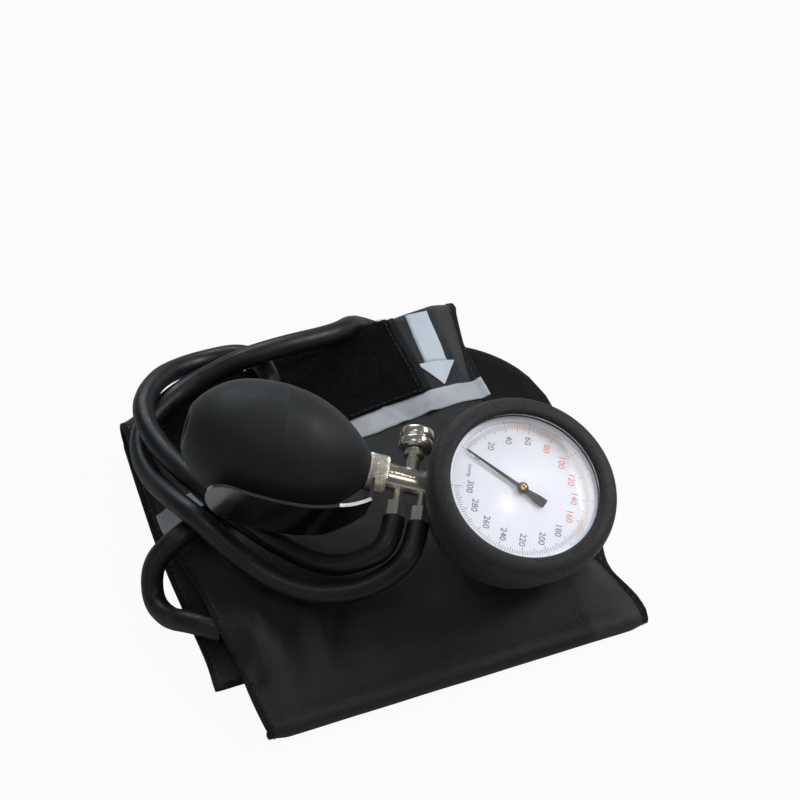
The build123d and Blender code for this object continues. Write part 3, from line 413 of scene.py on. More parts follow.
def as_mesh(piece):
    """Swaps an object with live modifiers or a curve for a plain mesh object of the same name."""
    graph = bpy.context.evaluated_depsgraph_get()
    mesh = bpy.data.meshes.new_from_object(piece.evaluated_get(graph))
    name = piece.name
    mesh.transform(piece.matrix_world)
    bpy.data.objects.remove(piece)
    return new_object(name, mesh)


def ring_faces(sections, count):
    """Faces of a closed ring of sections, each with the same count of points."""
    faces = []
    for index in range(sections):
        here, there = index * count, (index + 1) % sections * count
        for step in range(count):
            up = (step + 1) % count
            faces.append((here + step, there + step, there + up, here + up))
    return faces


def turned(name, outline, material, steps, axis="Z", off=0.0, teeth=0, depth=0.0, tooth_from=0.0):
    """A closed ring of revolution in the gauge's frame from (radius, height) points, toothed if asked for."""
    points = []
    for index in range(steps):
        angle = 2 * pi * index / steps
        cut = depth * (0.5 + 0.5 * cos(teeth * angle))
        for radius, height in outline:
            radius -= cut if radius > tooth_from else 0.0
            flat, up = radius * cos(angle), radius * sin(angle)
            spots = {"Z": (flat, up, height), "X": (height, flat, up), "Y": (off + flat, height, up)}
            points.append(gauge_point(*spots[axis]))
    return outward(make_piece(name, points, ring_faces(steps, len(outline)), material))


def border_path(rows, columns, step=1):
    """The places round the border of a grid, as (row, column)."""
    row, column = rows - 1, columns - 1
    path = [(0, c) for c in range(0, column, step)] + [(r, column) for r in range(0, row, step)]
    return path + [(row, c) for c in range(column, 0, -step)] + [(r, 0) for r in range(row, 0, -step)]


def skin(name, grid, material, smooth=True):
    """A closed skin over a grid of (upper point, lower point, cloth coordinates)."""
    rows, columns = len(grid), len(grid[0])
    cells = [cell for line in grid for cell in line]

    def vertex(spot, lower):
        row, column = spot
        return (row * columns + column) * 2 + lower

    faces = []
    for r in range(rows - 1):
        for c in range(columns - 1):
            corners = ((r, c), (r, c + 1), (r + 1, c + 1), (r + 1, c))
            faces.append([vertex(corner, 0) for corner in corners])
            faces.append([vertex(corner, 1) for corner in reversed(corners)])
    border = border_path(rows, columns)
    for here, after in zip(border, border[1:] + border[:1]):
        faces.append((vertex(here, 0), vertex(after, 0), vertex(after, 1), vertex(here, 1)))
    points = [point for cell in cells for point in cell[:2]]
    uvs = [cell[2] for cell in cells for _ in range(2)]
    return outward(make_piece(name, points, faces, material, uvs, smooth))


def rounded(points, times):
    """Cuts the corners of a closed outline, the number of times given."""
    for _ in range(times):
        cut = []
        for here, after in zip(points, points[1:] + points[:1]):
            for share in (0.25, 0.75):
                cut.append(tuple(a * (1 - share) + b * share for a, b in zip(here, after)))
        points = cut
    return points


def between(table, value):
    """Linear reading of a table of (place, number) pairs."""
    if value <= table[0][0]:
        return table[0][1]
    for (low, first), (high, second) in zip(table, table[1:]):
        if value <= high:
            return first + (second - first) * (value - low) / (high - low)
    return table[-1][1]


def soft(table, value):
    """The same reading with the bends of the table eased."""
    return sum(between(table, value + step) for step in (-4, -2, 0, 2, 4)) / 5


def waver(x, y, z):
    """Smooth noise about zero."""
    return noise.noise(Vector((x, y, z)))


def smooth_step(value):
    value = max(0.0, min(1.0, value))
    return value * value * (3 - 2 * value)


# Camera at the photograph's angle
camera_data = bpy.data.cameras.new("camera")
camera_data.lens, camera_data.sensor_width, camera_data.sensor_fit = 117.54, 36.0, "HORIZONTAL"
camera_data.clip_start = 0.02
camera = new_object("camera", camera_data)
aim = place(29.5, 59.0, 0.0)
camera.location = aim + Vector((-0.24441, -0.63671, 0.73135)) * 1.005
camera.rotation_euler = (aim - camera.location).to_track_quat("-Z", "Y").to_euler()
bpy.context.scene.camera = camera
bpy.context.scene.view_settings.view_transform = "Standard"

# Hoses: points along the middle of each, from its nut on the valve to its port on the cuff
HOSE_DIAMETER = 0.008
NUT_ONE = (-40.4, -15.4, 0.0)
NUT_TWO = (-31.6, -15.4, 0.0)
HOSE_ONE = [
    (-19.5, -37.0, 34.0), (-31.4, -31.5, 28.5), (-43.0, -15.6, 26.0), (-53.5, -1.5, 29.5),
    (-60.5, 8.5, 33.8), (-66.5, 22.0, 35.2), (-71.5, 38.0, 35.2), (-72.8, 52.0, 35.0),
    (-70.2, 62.6, 34.6), (-61.0, 74.6, 30.9), (-50.0, 82.6, 25.0), (-37.4, 86.2, 21.3),
    (-26.5, 84.8, 21.6), (-21.2, 75.0, 25.8), (-20.5, 60.0, 26.6), (-27.0, 46.0, 26.3),
    (-39.0, 30.5, 25.2), (-54.0, 14.5, 24.9), (-66.0, 7.0, 25.4), (-77.5, 2.0, 26.0),
    (-86.8, 1.2, 18.0), (-90.0, -6.0, 7.0), (-87.5, -17.5, 8.5),
]
HOSE_TWO = [
    (-12.5, -44.0, 31.2), (-26.0, -44.0, 26.8), (-42.1, -37.3, 24.9), (-54.0, -23.8, 25.5),
    (-62.3, -12.0, 31.2), (-68.0, -1.5, 35.4), (-72.3, 7.5, 35.4), (-75.2, 18.0, 32.6),
    (-77.4, 30.5, 28.0), (-77.2, 45.5, 25.2), (-73.0, 57.8, 25.0), (-62.0, 65.6, 26.1),
    (-50.0, 71.3, 26.2), (-38.5, 70.6, 30.6), (-28.5, 69.6, 34.6), (-18.4, 69.9, 34.9),
    (-8.1, 71.4, 33.2), (2.8, 74.0, 29.8), (11.6, 77.2, 26.6), (18.5, 83.5, 21.8), (25.0, 90.0, 12.5),
]
SIDE_PORT, SIDE_HEADING = (-76.1, -31.4, 14.9), radians(-40.0)
BACK_PORT, BACK_HEADING = (43.0, 89.2, 6.5), radians(6.3)


def hose(name, nut, route, port, heading, reach):
    """One smooth rubber tube from its nut to its port on the cuff, square to both."""
    exit_point = gauge_point(*nut)
    straight_out = gauge_point(nut[0], nut[1] - 10, nut[2])
    before = (port[0] - reach * cos(heading), port[1] - reach * sin(heading), port[2])
    points = [exit_point, straight_out, *(place(*p) for p in (*route, before, port))]
    curve = bpy.data.curves.new(name, "CURVE")
    curve.dimensions = "3D"
    curve.bevel_depth = HOSE_DIAMETER / 2
    curve.bevel_resolution = 8
    curve.resolution_u = 24
    curve.use_fill_caps = True
    spline = curve.splines.new("NURBS")
    spline.points.add(len(points) - 1)
    for knot, point in zip(spline.points, points):
        knot.co = (*point, 1.0)
    spline.order_u = 3
    spline.use_endpoint_u = True
    curve.materials.append(FINISHES["hose_rubber"])
    tube = new_object(name, curve)
    finished(tube, [name.replace("_tube", "")])


hose("hose_one_tube", NUT_ONE, HOSE_ONE, SIDE_PORT, SIDE_HEADING, 8)
hose("hose_two_tube", NUT_TWO, HOSE_TWO, BACK_PORT, BACK_HEADING, 9)

# Cuff: one padded strip folded in three. Its middle surface is a sheet of rows along the strip.
# The sides of each layer are tables of (y, x), left and right.
TOP_SIDES = (
    [
        (-79, -69.5), (-71.5, -70.2), (-64, -71.0), (-51, -71.6), (-42, -72.2), (-36, -74.4), (-30, -75.0),
        (-22, -73.9), (17, -79.5), (60, -77.5),
    ],
    [
        (-79, 71.5), (-69, 72.0), (-64, 70.0), (-55, 65.5), (-48, 63.0), (-25, 60.0), (5, 57.0), (30, 54.5),
        (45, 53.5), (66, 57.0), (84, 61.0),
    ],
)
MIDDLE_SIDES = (
    [(-53.5, -81.5), (-42, -80.4), (-33, -80.5), (0, -81.2), (20, -80.8), (48, -79.2), (72, -77.5)],
    [(-53.5, 56.5), (84, 60.3)],
)
TONGUE_SIDES = (
    [(-79, -69.5), (-20, -59.5), (36, -59.5)],
    [
        (-79, 71.5), (-72, 73.0), (-57, 71.5), (-46, 69.0), (-25, 74.5), (-10, 78.0), (5, 80.0), (20, 81.5),
        (36, 81.5),
    ],
)
TOP_HEIGHT = [(-73, 6.25), (-70, 6.5), (-53, 12.85), (-11, 18.0), (95, 18.0)]
CUFF_FRONT = -77.0
FRONT_CENTRE, FRONT_RADIUS = 4.0, 2.25
STRIP_START = CUFF_FRONT + FRONT_CENTRE
BACK_LEFT, BACK_RIGHT = 73.0, 91.0
BACK_CENTRE, BACK_RADIUS, BACK_REACH, BACK_SIDES_AT = 13.0, 5.0, 7.5, 84
MIDDLE_END, MIDDLE_HEIGHT = -53.0, 8.0
TONGUE_END, TONGUE_HEIGHT = 83.0, 1.75
TONGUE_CORNER, CORNER_LEFT, CORNER_RIGHT, LIMIT_LEFT, LIMIT_RIGHT = 47.0, -12.5, 34.5, -59.4, 81.4
# Half the strip's thickness at its edge, what the thin layers add to it further in, and how far in
EDGE_HALF, THIN_SWELL, THIN_REACH, FULL_REACH = 0.75, 0.95, 7.0, 9.0
ACROSS = 96
TONGUE_ROWS, FRONT_ROWS, TOP_ROWS, BACK_ROWS, MIDDLE_ROWS = 70, 10, 110, 14, 66

# Waves of the top layer: height, length across, length along, and where the noise is read
WAVES = [(1.3, 34, 21, 3.1), (0.8, 15, 19, 8.4), (0.3, 6.5, 8, 1.7)]
# Its ridges and creases: x, y, heading in degrees, half length, half width, rise
FOLDS = [
    (-62, -42, 88, 15, 4.5, 2.0), (-54, -44, 84, 16, 4, -1.9), (-45, -46, 80, 14, 5, 1.2),
    (-36.6, -46, 70, 9, 3, -2.4), (-28, -52, 76, 18, 5.5, 2.0), (-14, -44, 72, 16, 7, 1.2),
    (-69, -51, 60, 5, 2.5, 1.6), (-68, -57, 30, 6, 2, -1.3), (50, -25, 92, 40, 1.6, -0.5),
    (30, -62, 12, 26, 5, 0.7), (-5, -62, 6, 34, 6, 0.6), (-40, -66, 8, 24, 4, 0.6),
    (60, -30, 85, 20, 5, 0.6), (62, -52, 40, 8, 4, 0.8), (55, 62, 80, 14, 5, 1.0),
    (46, 55, 70, 10, 3, -0.8), (20, -60, 5, 30, 4, 0.4), (-10, -66, 3, 25, 3, -0.4),
    (5, -25, 80, 12, 5, 0.5),
]
# The ridge over hose one's end, which runs in below the top layer
TUNNEL_MOUTH, TUNNEL_LONG, TUNNEL_WIDE, TUNNEL_RISE = (-72, -34.8), 15, 6.5, 5.6


def fold_start(x):
    """Where the top layer turns down into the back fold."""
    return BACK_LEFT + (x + 82.0) / 164.0 * (BACK_RIGHT - BACK_LEFT) - BACK_REACH


def top_height(y):
    """The top layer's middle surface, with the bends of its table softened."""
    return sum(between(TOP_HEIGHT, y + step) for step in (-6, -3, 0, 3, 6)) / 5


def tongue_back(x):
    """The end of the bottom layer, with both corners rounded."""
    for into in (min(x, LIMIT_RIGHT) - CORNER_RIGHT, CORNER_LEFT - max(x, LIMIT_LEFT)):
        if into > 0:
            return TONGUE_END - TONGUE_CORNER + sqrt(max(0.0, TONGUE_CORNER ** 2 - into ** 2))
    return TONGUE_END


def seen_from(x, y, origin, angle):
    """A place's distances from an origin, along and across a heading."""
    dx, dy = x - origin[0], y - origin[1]
    return dx * cos(angle) + dy * sin(angle), -dx * sin(angle) + dy * cos(angle)


def creases(x, y):
    """Soft folds of the top layer, as heights in millimetres."""
    height = sum(rise * waver(x / long, y / wide, at) for rise, long, wide, at in WAVES)
    for cx, cy, heading, long, wide, rise in FOLDS:
        along, across = seen_from(x, y, (cx, cy), radians(heading))
        height += rise * exp(-(along / long) ** 2 - (across / wide) ** 2)
    return height


def inset(sides, x, y):
    """How far a place lies inside the nearer side of a layer."""
    return min(x - soft(sides[0], y), soft(sides[1], y) - x)


def across_at(sides, y, u):
    """The x at a share across a layer."""
    return blend(soft(sides[0], y), soft(sides[1], y), u)


def top_layer(x, y):
    """Height of the top layer's middle and half its thickness, wrinkles included."""
    edge = inset(TOP_SIDES, x, y)
    puff = smooth_step(edge / FULL_REACH)
    full = 1.7 + 0.8 * smooth_step((y + 70) / 20)
    level = smooth_step((y + 70) / 24) * smooth_step((fold_start(x) - 2 - y) / 22)
    sag = -1.6 * (1 - smooth_step(edge / 14.0)) * level
    settle = smooth_step((y - CUFF_FRONT - 6) / 12) * smooth_step((fold_start(x) + 4 - y) / 14)
    along, across = seen_from(x, y, TUNNEL_MOUTH, SIDE_HEADING)
    tunnel = TUNNEL_RISE * exp(-(across / TUNNEL_WIDE) ** 2 - max(0.0, along / TUNNEL_LONG) ** 2)
    wrinkles = creases(x, y) * settle * (0.35 + 0.65 * puff)
    return top_height(y) + sag + tunnel + wrinkles, blend(EDGE_HALF, full, puff)


def fold_layer(x, angle):
    """Radius of the back fold's middle surface and half its thickness."""
    ripple = 0.3 * waver(x / 16, angle * 0.7, 6.0)
    puff = smooth_step(inset(TOP_SIDES, x, BACK_SIDES_AT) / FULL_REACH)
    return BACK_RADIUS + ripple, EDGE_HALF + 1.75 * puff


# The strip's layers. Each gives place, normal and half thickness at a share along it and one across it.


def tongue_at(q, u):
    x = across_at(TONGUE_SIDES, blend(STRIP_START, TONGUE_END, q), u)
    end = tongue_back(x)
    y = blend(STRIP_START, end, q)
    x = across_at(TONGUE_SIDES, y, u)
    puff = smooth_step(min(inset(TONGUE_SIDES, x, y), end - y) / THIN_REACH)
    drape = 0.25 * waver(x / 30, y / 24, 5.0) * puff
    half = min(EDGE_HALF + THIN_SWELL * puff, 1.68)
    return Vector((x, y, TONGUE_HEIGHT + drape)), Vector((0, 0, -1)), half


def front_at(q, u):
    x = across_at(TOP_SIDES, CUFF_FRONT, u)
    puff = smooth_step(inset(TOP_SIDES, x, CUFF_FRONT) / THIN_REACH)
    wave = 0.25 * waver(x / 25, 0, 2.0)
    direction = Vector((0, -sin(pi * q), -cos(pi * q)))
    centre = Vector((x, STRIP_START + wave, FRONT_CENTRE))
    return centre + direction * FRONT_RADIUS, direction, EDGE_HALF + THIN_SWELL * puff


def top_at(q, u):
    x = across_at(TOP_SIDES, blend(STRIP_START, fold_start(0), q), u)
    y = blend(STRIP_START, fold_start(x), q)
    x = across_at(TOP_SIDES, y, u)
    z, half = top_layer(x, y)
    slope = (top_height(y + 1) - top_height(y - 1)) / 2
    return Vector((x, y, z)), Vector((0, -slope, 1)).normalized(), half


def back_at(q, u):
    x = across_at(TOP_SIDES, BACK_SIDES_AT, u)
    radius, half = fold_layer(x, pi * q)
    direction = Vector((0, sin(pi * q), cos(pi * q)))
    return Vector((x, fold_start(x), BACK_CENTRE)) + direction * radius, direction, half


def middle_at(q, u):
    x = across_at(MIDDLE_SIDES, blend(70, MIDDLE_END, q), u)
    y = blend(fold_start(x), MIDDLE_END, q)
    x = across_at(MIDDLE_SIDES, y, u)
    puff = smooth_step(min(inset(MIDDLE_SIDES, x, y), y - MIDDLE_END) / FULL_REACH)
    wave = 0.3 * waver(x / 22, y / 18, 9.0)
    return Vector((x, y, MIDDLE_HEIGHT + wave)), Vector((0, 0, -1)), EDGE_HALF + 1.7 * puff


def cuff_grid():
    """All rows of the strip, from the tongue's end round both folds, a little closer at the sides."""
    grid = []
    shares = [step / ACROSS for step in range(ACROSS + 1)]
    shares = [share - 0.04 * sin(2 * pi * share) for share in shares]
    counts = {
        tongue_at: TONGUE_ROWS, front_at: FRONT_ROWS, top_at: TOP_ROWS, back_at: BACK_ROWS,
        middle_at: MIDDLE_ROWS,
    }
    for layer, rows in counts.items():
        for row in range(rows + (layer is middle_at)):
            q = 1 - row / rows if layer is tongue_at else row / rows
            grid.append([layer(q, u) for u in shares])
    return grid


CUFF = cuff_grid()


def strip_piece(name, rows, material, share=1.0):
    """A closed skin round rows of the strip, at a share of the strip's own half thickness."""
    grid, run, last = [], 0.0, None
    for row in rows:
        centre = row[len(row) // 2][0]
        run += (centre - last).length if last is not None else 0.0
        last = centre
        line = []
        for at, normal, half in row:
            rise = normal * half * share
            line.append((place(*(at + rise)), place(*(at - rise)), (at.x, run)))
        grid.append(line)
    return skin(name, grid, material)


# The flat bladder lies between the cloths of the top and middle layers and round their fold
BLADDER_FROM, BLADDER_TO, BLADDER_SIDE = -10.0, -45.0, 8
top_first = TONGUE_ROWS + FRONT_ROWS
middle_first = top_first + TOP_ROWS + BACK_ROWS
bladder_rows = []
for number, line in enumerate(CUFF[top_first:], top_first):
    if line[ACROSS // 2][0].y > (BLADDER_FROM if number < middle_first else BLADDER_TO):
        bladder_rows.append(line[BLADDER_SIDE:ACROSS + 1 - BLADDER_SIDE])
bladder_bag = strip_piece("bladder_bag", bladder_rows, FINISHES["bladder_rubber"], 0.45)
finished(bladder_bag, ["bladder"])

cover = strip_piece("cuff_cover_cloth", CUFF, FINISHES["cuff_nylon"])
finished(cover, ["cuff_cover"])


def on_cover(x, y, lift=0.12):
    """A point lifted off the top layer. Past the fold's start, y runs on round its arc."""
    over = y - fold_start(x)
    if over <= 0:
        middle, half = top_layer(x, y)
        return place(x, y, middle + half + lift)
    angle = over / BACK_REACH
    radius, half = fold_layer(x, angle)
    reach = radius + half + lift
    return place(x, fold_start(x) + reach * sin(angle), BACK_CENTRE + reach * cos(angle))


def along_line(line, share):
    """The point at a share of a line's length."""
    lengths = [dist(a, b) for a, b in zip(line, line[1:])]
    left = share * sum(lengths)
    for a, b, length in zip(line, line[1:], lengths):
        if left <= length or b is line[-1]:
            return [blend(p, q, left / length) for p, q in zip(a, b)]
        left -= length


def draped(name, front, back, columns, rows, thickness, material, fray=0.0, pucker=None, smooth=True):
    """A patch laid on the top layer between a front and a back line, with a top and an underside."""
    grid = []
    for row in range(rows + 1):
        line = []
        for column in range(columns + 1):
            u = column / columns
            x, y = (blend(a, b, row / rows) for a, b in zip(along_line(front, u), along_line(back, u)))
            if fray:
                x += fray * waver(x / 3, y / 3, 4.0) * (abs(u - 0.5) > 0.48)
                y += fray * waver(x / 6, y / 3, 7.0)
            rise = 0.05 + (pucker(x, y) if pucker else 0.0)
            line.append((on_cover(x, y, rise + thickness), on_cover(x, y, rise), (x, y)))
        grid.append(line)
    return skin(name, grid, material, smooth)


def stripe_pucker(x, y):
    """Two small tucks across the stripe, and its lifted right end."""
    first = exp(-((x - 33.0 - 0.35 * (y - 36)) / 2.2) ** 2)
    second = 0.6 * exp(-((x - 18.0 + 0.5 * (y - 34)) / 1.8) ** 2)
    return 0.75 * (first + second) + 0.5 * smooth_step((x - 46) / 6) + 0.9 * smooth_step((x - 52.5) / 3.5)


PATCH_FRONT, PATCH_BACK = [(-66, 30.0), (32.6, 41.0)], [(-66, 75.0), (32.6, 88.0)]
patch = draped("loop_patch_pile", PATCH_FRONT, PATCH_BACK, 80, 36, 1.0, FINISHES["pile_fabric"])
finished(patch, ["loop_patch"])
HEM_FRONT, HEM_BACK = [(32.3, 42.0), (35.8, 42.3)], [(32.3, 88.0), (35.8, 88.3)]
hem = draped("patch_hem", HEM_FRONT, HEM_BACK, 3, 36, 0.45, TAPE)
finished(hem)
STRIPE = [(-79.0, 17.4), (3.4, 32.8), (30.0, 35.9), (56.2, 38.3)]
STRIPE_EDGES = [[(x, y + side) for x, y in STRIPE] for side in (-4.8, 4.8)]
stripe = draped("index_stripe_tape", *STRIPE_EDGES, 150, 10, 0.35, STRIPE_PRINT, 0.3, stripe_pucker)
finished(stripe, ["index_stripe"])


def lay_arrow():
    """The artery arrow: a shaft and a head, both laid on the cloth below."""
    heading = radians(-95.0)
    forward = Vector((cos(heading), sin(heading)))
    sideways = Vector((-sin(heading), cos(heading)))

    def line(distance, half):
        middle = Vector((41.3, 42.8)) + forward * distance
        ends = (middle - sideways * half, middle + sideways * half)
        return [(end.x, end.y) for end in ends]

    white = FINISHES["white_print"]
    shaft = draped("arrow_shaft", line(-11.7, 4.35), line(-39.0, 4.35), 6, 16, 0.3, white, fray=0.15)
    head = draped("arrow_head", line(-0.2, 0.12), line(-11.7, 7.3), 6, 10, 0.3, white, smooth=False)
    for part in (shaft, head):
        finished(part, ["artery_arrow"])


lay_arrow()


# Binding tape round the whole strip, with its row of stitches
def border_line():
    """The strip's border as (place, normal, nearest place further in)."""
    line = []
    for row, column in border_path(len(CUFF), ACROSS + 1, 2):
        centre, normal, _ = CUFF[row][column]
        inner = CUFF[min(max(row, 1), len(CUFF) - 2)][min(max(column, 1), ACROSS - 1)][0]
        line.append((centre, normal, inner))
    return line


BORDER = border_line()


def binding_piece():
    """The folded tape along the border, swept with one section."""
    section = [(0.0, 0.55), (0.15, 0.8), (0.6, 0.92), (2.4, 1.0), (2.7, 0.84)]
    ring = section + [(a, -b) for a, b in reversed(section)]
    points, uvs, run = [], [], 0.0
    for index, (centre, normal, inner) in enumerate(BORDER):
        before, after = BORDER[index - 1][0], BORDER[(index + 1) % len(BORDER)][0]
        inward = normal.cross((after - before).normalized()).normalized()
        if inward.dot(inner - centre) < 0:
            inward = -inward
        run += (centre - before).length
        for reach, height in ring:
            points.append(place(*(centre + inward * (reach - 0.5) + normal * height)))
            uvs.append((run, reach + (height > 0) * 8))
    return outward(make_piece("edge_binding", points, ring_faces(len(BORDER), len(ring)), TAPE, uvs))


finished(binding_piece())


def new_group(name, **kinds):
    """An empty geometry node group, its given inputs as sockets, and the keys that set them."""
    tree = bpy.data.node_groups.new(name, "GeometryNodeTree")
    keys = {}
    for label, kind in kinds.items():
        socket = tree.interface.new_socket(label, in_out="INPUT", socket_type=f"NodeSocket{kind}")
        keys[label] = socket.identifier
    tree.interface.new_socket("Geometry", in_out="OUTPUT", socket_type="NodeSocketGeometry")
    group = Nodes(tree)
    return group, group.add("NodeGroupInput"), keys


def set_out(group, points, shape, material, **inputs):
    """Ends a group with a shape on every point, as real geometry of one material."""
    spread = group.add("GeometryNodeInstanceOnPoints", {"Points": points, "Instance": shape, **inputs})
    real = group.add("GeometryNodeRealizeInstances", {"Geometry": spread["Instances"]})
    done = group.add("GeometryNodeSetMaterial", {"Geometry": real["Geometry"], "Material": material})
    group.add("NodeGroupOutput", {"Geometry": done["Geometry"]})


def grown(name, mesh, group, keys, **values):
    """What a node group makes of a mesh with the values given, as a plain mesh object."""
    piece = new_object(name, mesh)
    modifier = piece.modifiers.new("nodes", "NODES")
    modifier.node_group = group.tree
    for label, value in values.items():
        modifier[keys[label]] = value
    return as_mesh(piece)


def stitch_group(material, length, thickness):
    """Short threads set end to end along the input's edges."""
    group, given, keys = new_group("stitch_rows", Geometry="Geometry", Spacing="Float")
    curve = group.add("GeometryNodeMeshToCurve", {"Mesh": given["Geometry"]})["Curve"]
    inputs = {"Curve": curve, "Length": given["Spacing"]}
    spots = group.add("GeometryNodeCurveToPoints", inputs, mode="LENGTH")
    inputs = {"Vector": spots["Tangent"]}
    turn = group.add("FunctionNodeAlignRotationToVector", inputs, axis="Z")["Rotation"]
    inputs = {"Vertices": 6, "Radius": thickness, "Depth": length}
    thread = group.add("GeometryNodeMeshCylinder", inputs)["Mesh"]
    set_out(group, spots["Points"], thread, material, Rotation=turn)
    return group, keys


STITCHES = stitch_group(THREAD, 0.0019, 0.00016)


def stitch_rows(name, lines, spacing):
    """Rows of stitches along lines of points in metres."""
    points, edges = [], []
    for line in lines:
        first = len(points)
        points += line
        edges += [(i, i + 1) for i in range(first, len(points) - 1)]
    mesh = bpy.data.meshes.new(name)
    mesh.from_pydata([tuple(p) for p in points], edges, [])
    finished(grown(name, mesh, *STITCHES, Spacing=spacing))


STITCH_IN, STITCH_RISE = 1.6, 1.04


def edge_stitch_line(face):
    """A line just inside the binding, on one face of the strip."""
    line = []
    for centre, normal, inner in BORDER:
        inward = inner - centre
        inward = (inward - normal * inward.dot(normal)).normalized()
        line.append(place(*(centre + inward * STITCH_IN + normal * face * STITCH_RISE)))
    return line


stitch_rows("edge_stitches", [edge_stitch_line(face) for face in (1, -1)], 0.0029)
# Two rows down the pocket's right seam, and one round the loop patch
pocket_lines = [[on_cover(x + 0.15 * sin(y + x), y) for y in range(-70, 68, 2)] for x in (49.6, 47.6)]
stitch_rows("pocket_stitches", pocket_lines, 0.0027)
corners = [(-64.6, 31.4), (31.4, 42.3), (31.4, 86.0), (-64.6, 73.5)]
patch_border = []
for start, end in zip(corners, corners[1:] + corners[:1]):
    count = int(dist(start, end) / 2) + 1
    for step in range(count):
        x, y = (blend(a, b, step / count) for a, b in zip(start, end))
        patch_border.append(on_cover(x, y, 1.12))
stitch_rows("patch_stitches", [patch_border], 0.0026)


def nap_group(material, seed):
    """A pile of short bent fibres scattered over the input's upper face."""
    group, given, keys = new_group("pile_nap", Geometry="Geometry", Density="Float")
    normal = group.add("GeometryNodeInputNormal")["Normal"]
    inputs = {"A": group.split(normal)["Z"], "B": 0.6}
    upper = group.add("FunctionNodeCompare", inputs, operation="GREATER_THAN")["Result"]
    inputs = {"Mesh": given["Geometry"], "Selection": upper, "Density": given["Density"], "Seed": seed}
    scatter = group.add("GeometryNodeDistributePointsOnFaces", inputs)["Points"]
    inputs = {"Resolution": 4, "Start": (0, 0, -0.0002), "Start Handle": (0, 0, 0.0006)}
    inputs |= {"End Handle": (0.0005, 0, 0.0009), "End": (0.0008, 0, 0.0003)}
    fibre = group.add("GeometryNodeCurvePrimitiveBezierSegment", inputs)["Curve"]
    inputs = {"Resolution": 3, "Radius": 0.00006}
    profile = group.add("GeometryNodeCurvePrimitiveCircle", inputs)["Curve"]
    shape = group.add("GeometryNodeCurveToMesh", {"Curve": fibre, "Profile Curve": profile})["Mesh"]
    inputs = {"Min": (-0.5, -0.5, 0.0), "Max": (0.5, 0.5, 6.283), "Seed": seed + 1}
    turn = group.add("FunctionNodeRandomValue", inputs, data_type="FLOAT_VECTOR")["Value"]
    size = group.add("FunctionNodeRandomValue", {2: 0.6, 3: 1.35, "Seed": seed + 2})[1]
    set_out(group, scatter, shape, material, Rotation=turn, Scale=size)
    return group, keys


NAP_SEED, NAP_DENSITY = 5, 2400000.0
nap_nodes = nap_group(FINISHES["pile_fabric"], NAP_SEED)
finished(grown("loop_patch_nap", patch.data.copy(), *nap_nodes, Density=NAP_DENSITY))

# Hook patch: a flat piece between the tongue and the middle layer, so its height is given directly
HOOK_LOW, HOOK_HIGH = 0.0036, 0.0046
HOOK_FRONT, HOOK_BACK = [(-38, 18), (58, 18)], [(-38, 74), (58, 74)]
hooks = draped("hook_patch_face", HOOK_FRONT, HOOK_BACK, 2, 2, 1.0, FINISHES["hook_fabric"])
for vertex in hooks.data.vertices:
    vertex.co.z = HOOK_LOW if vertex.index % 2 else HOOK_HIGH
finished(hooks, ["hook_patch"])

# Squeeze bulb: smooth rubber with a faint mould ring
BULB_OUTLINE = [
    (6.6, -53.1), (7.2, -53.6), (8.6, -54.8), (10.4, -56.5), (13.0, -59.4), (15.6, -63.0),
    (18.2, -67.4), (20.3, -72.2), (21.8, -77.4), (22.6, -82.8), (22.85, -86.2), (22.95, -86.8),
    (22.95, -87.2), (22.85, -87.8), (22.8, -91.5), (22.2, -97.6), (20.9, -102.8), (18.8, -107.4),
    (15.8, -111.6), (12.6, -114.8), (9.8, -116.8), (8.2, -117.7), (7.0, -118.0), (5.8, -118.0),
    (5.0, -117.6), (4.75, -116.0), (4.75, -111.5), (9.0, -110.5), (14.5, -107.0), (18.6, -100.0),
    (20.4, -91.0), (20.2, -82.0), (17.6, -72.0), (12.0, -64.5), (6.0, -62.0), (4.3, -60.5),
    (4.3, -53.6), (5.2, -53.1),
]
bulb = turned("squeeze_bulb_rubber", rounded(BULB_OUTLINE, 2), FINISHES["bulb_rubber"], 128, "X")
finished(bulb, ["squeeze_bulb"])

# Bumper: barrelled rubber ring with a rolled lip, open round the valve
SLOT_HALF = 4.7
BUMPER_OUTLINE = [
    (27.0, 18.7), (27.05, 19.7), (27.8, 20.4), (29.4, 20.7), (31.2, 20.4), (32.9, 19.6), (33.9, 18.1),
    (34.4, 15.6), (34.2, 12.6), (33.5, 9.0), (32.5, 5.6), (31.6, 2.4), (30.7, -1.2), (29.8, -4.2),
    (28.9, -6.2), (27.8, -7.8), (26.6, -8.45), (24.8, -8.5), (21.4, -8.5), (20.9, -8.1), (20.9, -7.5),
    (21.4, -7.3), (25.4, -7.3), (27.4, -4.0), (29.1, 0.4), (29.6, 4.0), (29.6, 18.6), (28.4, 18.6),
]
bumper = turned("gauge_bumper_rubber", rounded(BUMPER_OUTLINE, 2), FINISHES["bumper_rubber"], 180)


def box_between(name, low, high):
    """A box in the gauge's frame between two corners in millimetres."""
    xs, ys, zs = zip(low, high)
    points = [gauge_point(x, y, z) for z in zs for y in ys for x in xs]
    faces = [(0, 2, 3, 1), (4, 5, 7, 6), (0, 1, 5, 4), (2, 6, 7, 3), (0, 4, 6, 2), (1, 3, 7, 5)]
    return outward(make_piece(name, points, faces, FINISHES["bumper_rubber"], smooth=False))


def cut_away(piece, cutter):
    """What is left of a piece outside a cutting solid, as a plain mesh."""
    modifier = piece.modifiers.new("cut", "BOOLEAN")
    modifier.operation = "DIFFERENCE"
    modifier.object = cutter
    rest = as_mesh(piece)
    bpy.data.objects.remove(cutter)
    return rest


bumper = cut_away(bumper, box_between("valve_slot", (-40.0, -17.0, -SLOT_HALF), (-27.4, 0.0, SLOT_HALF)))
finished(bumper, ["rubber_bumper"])

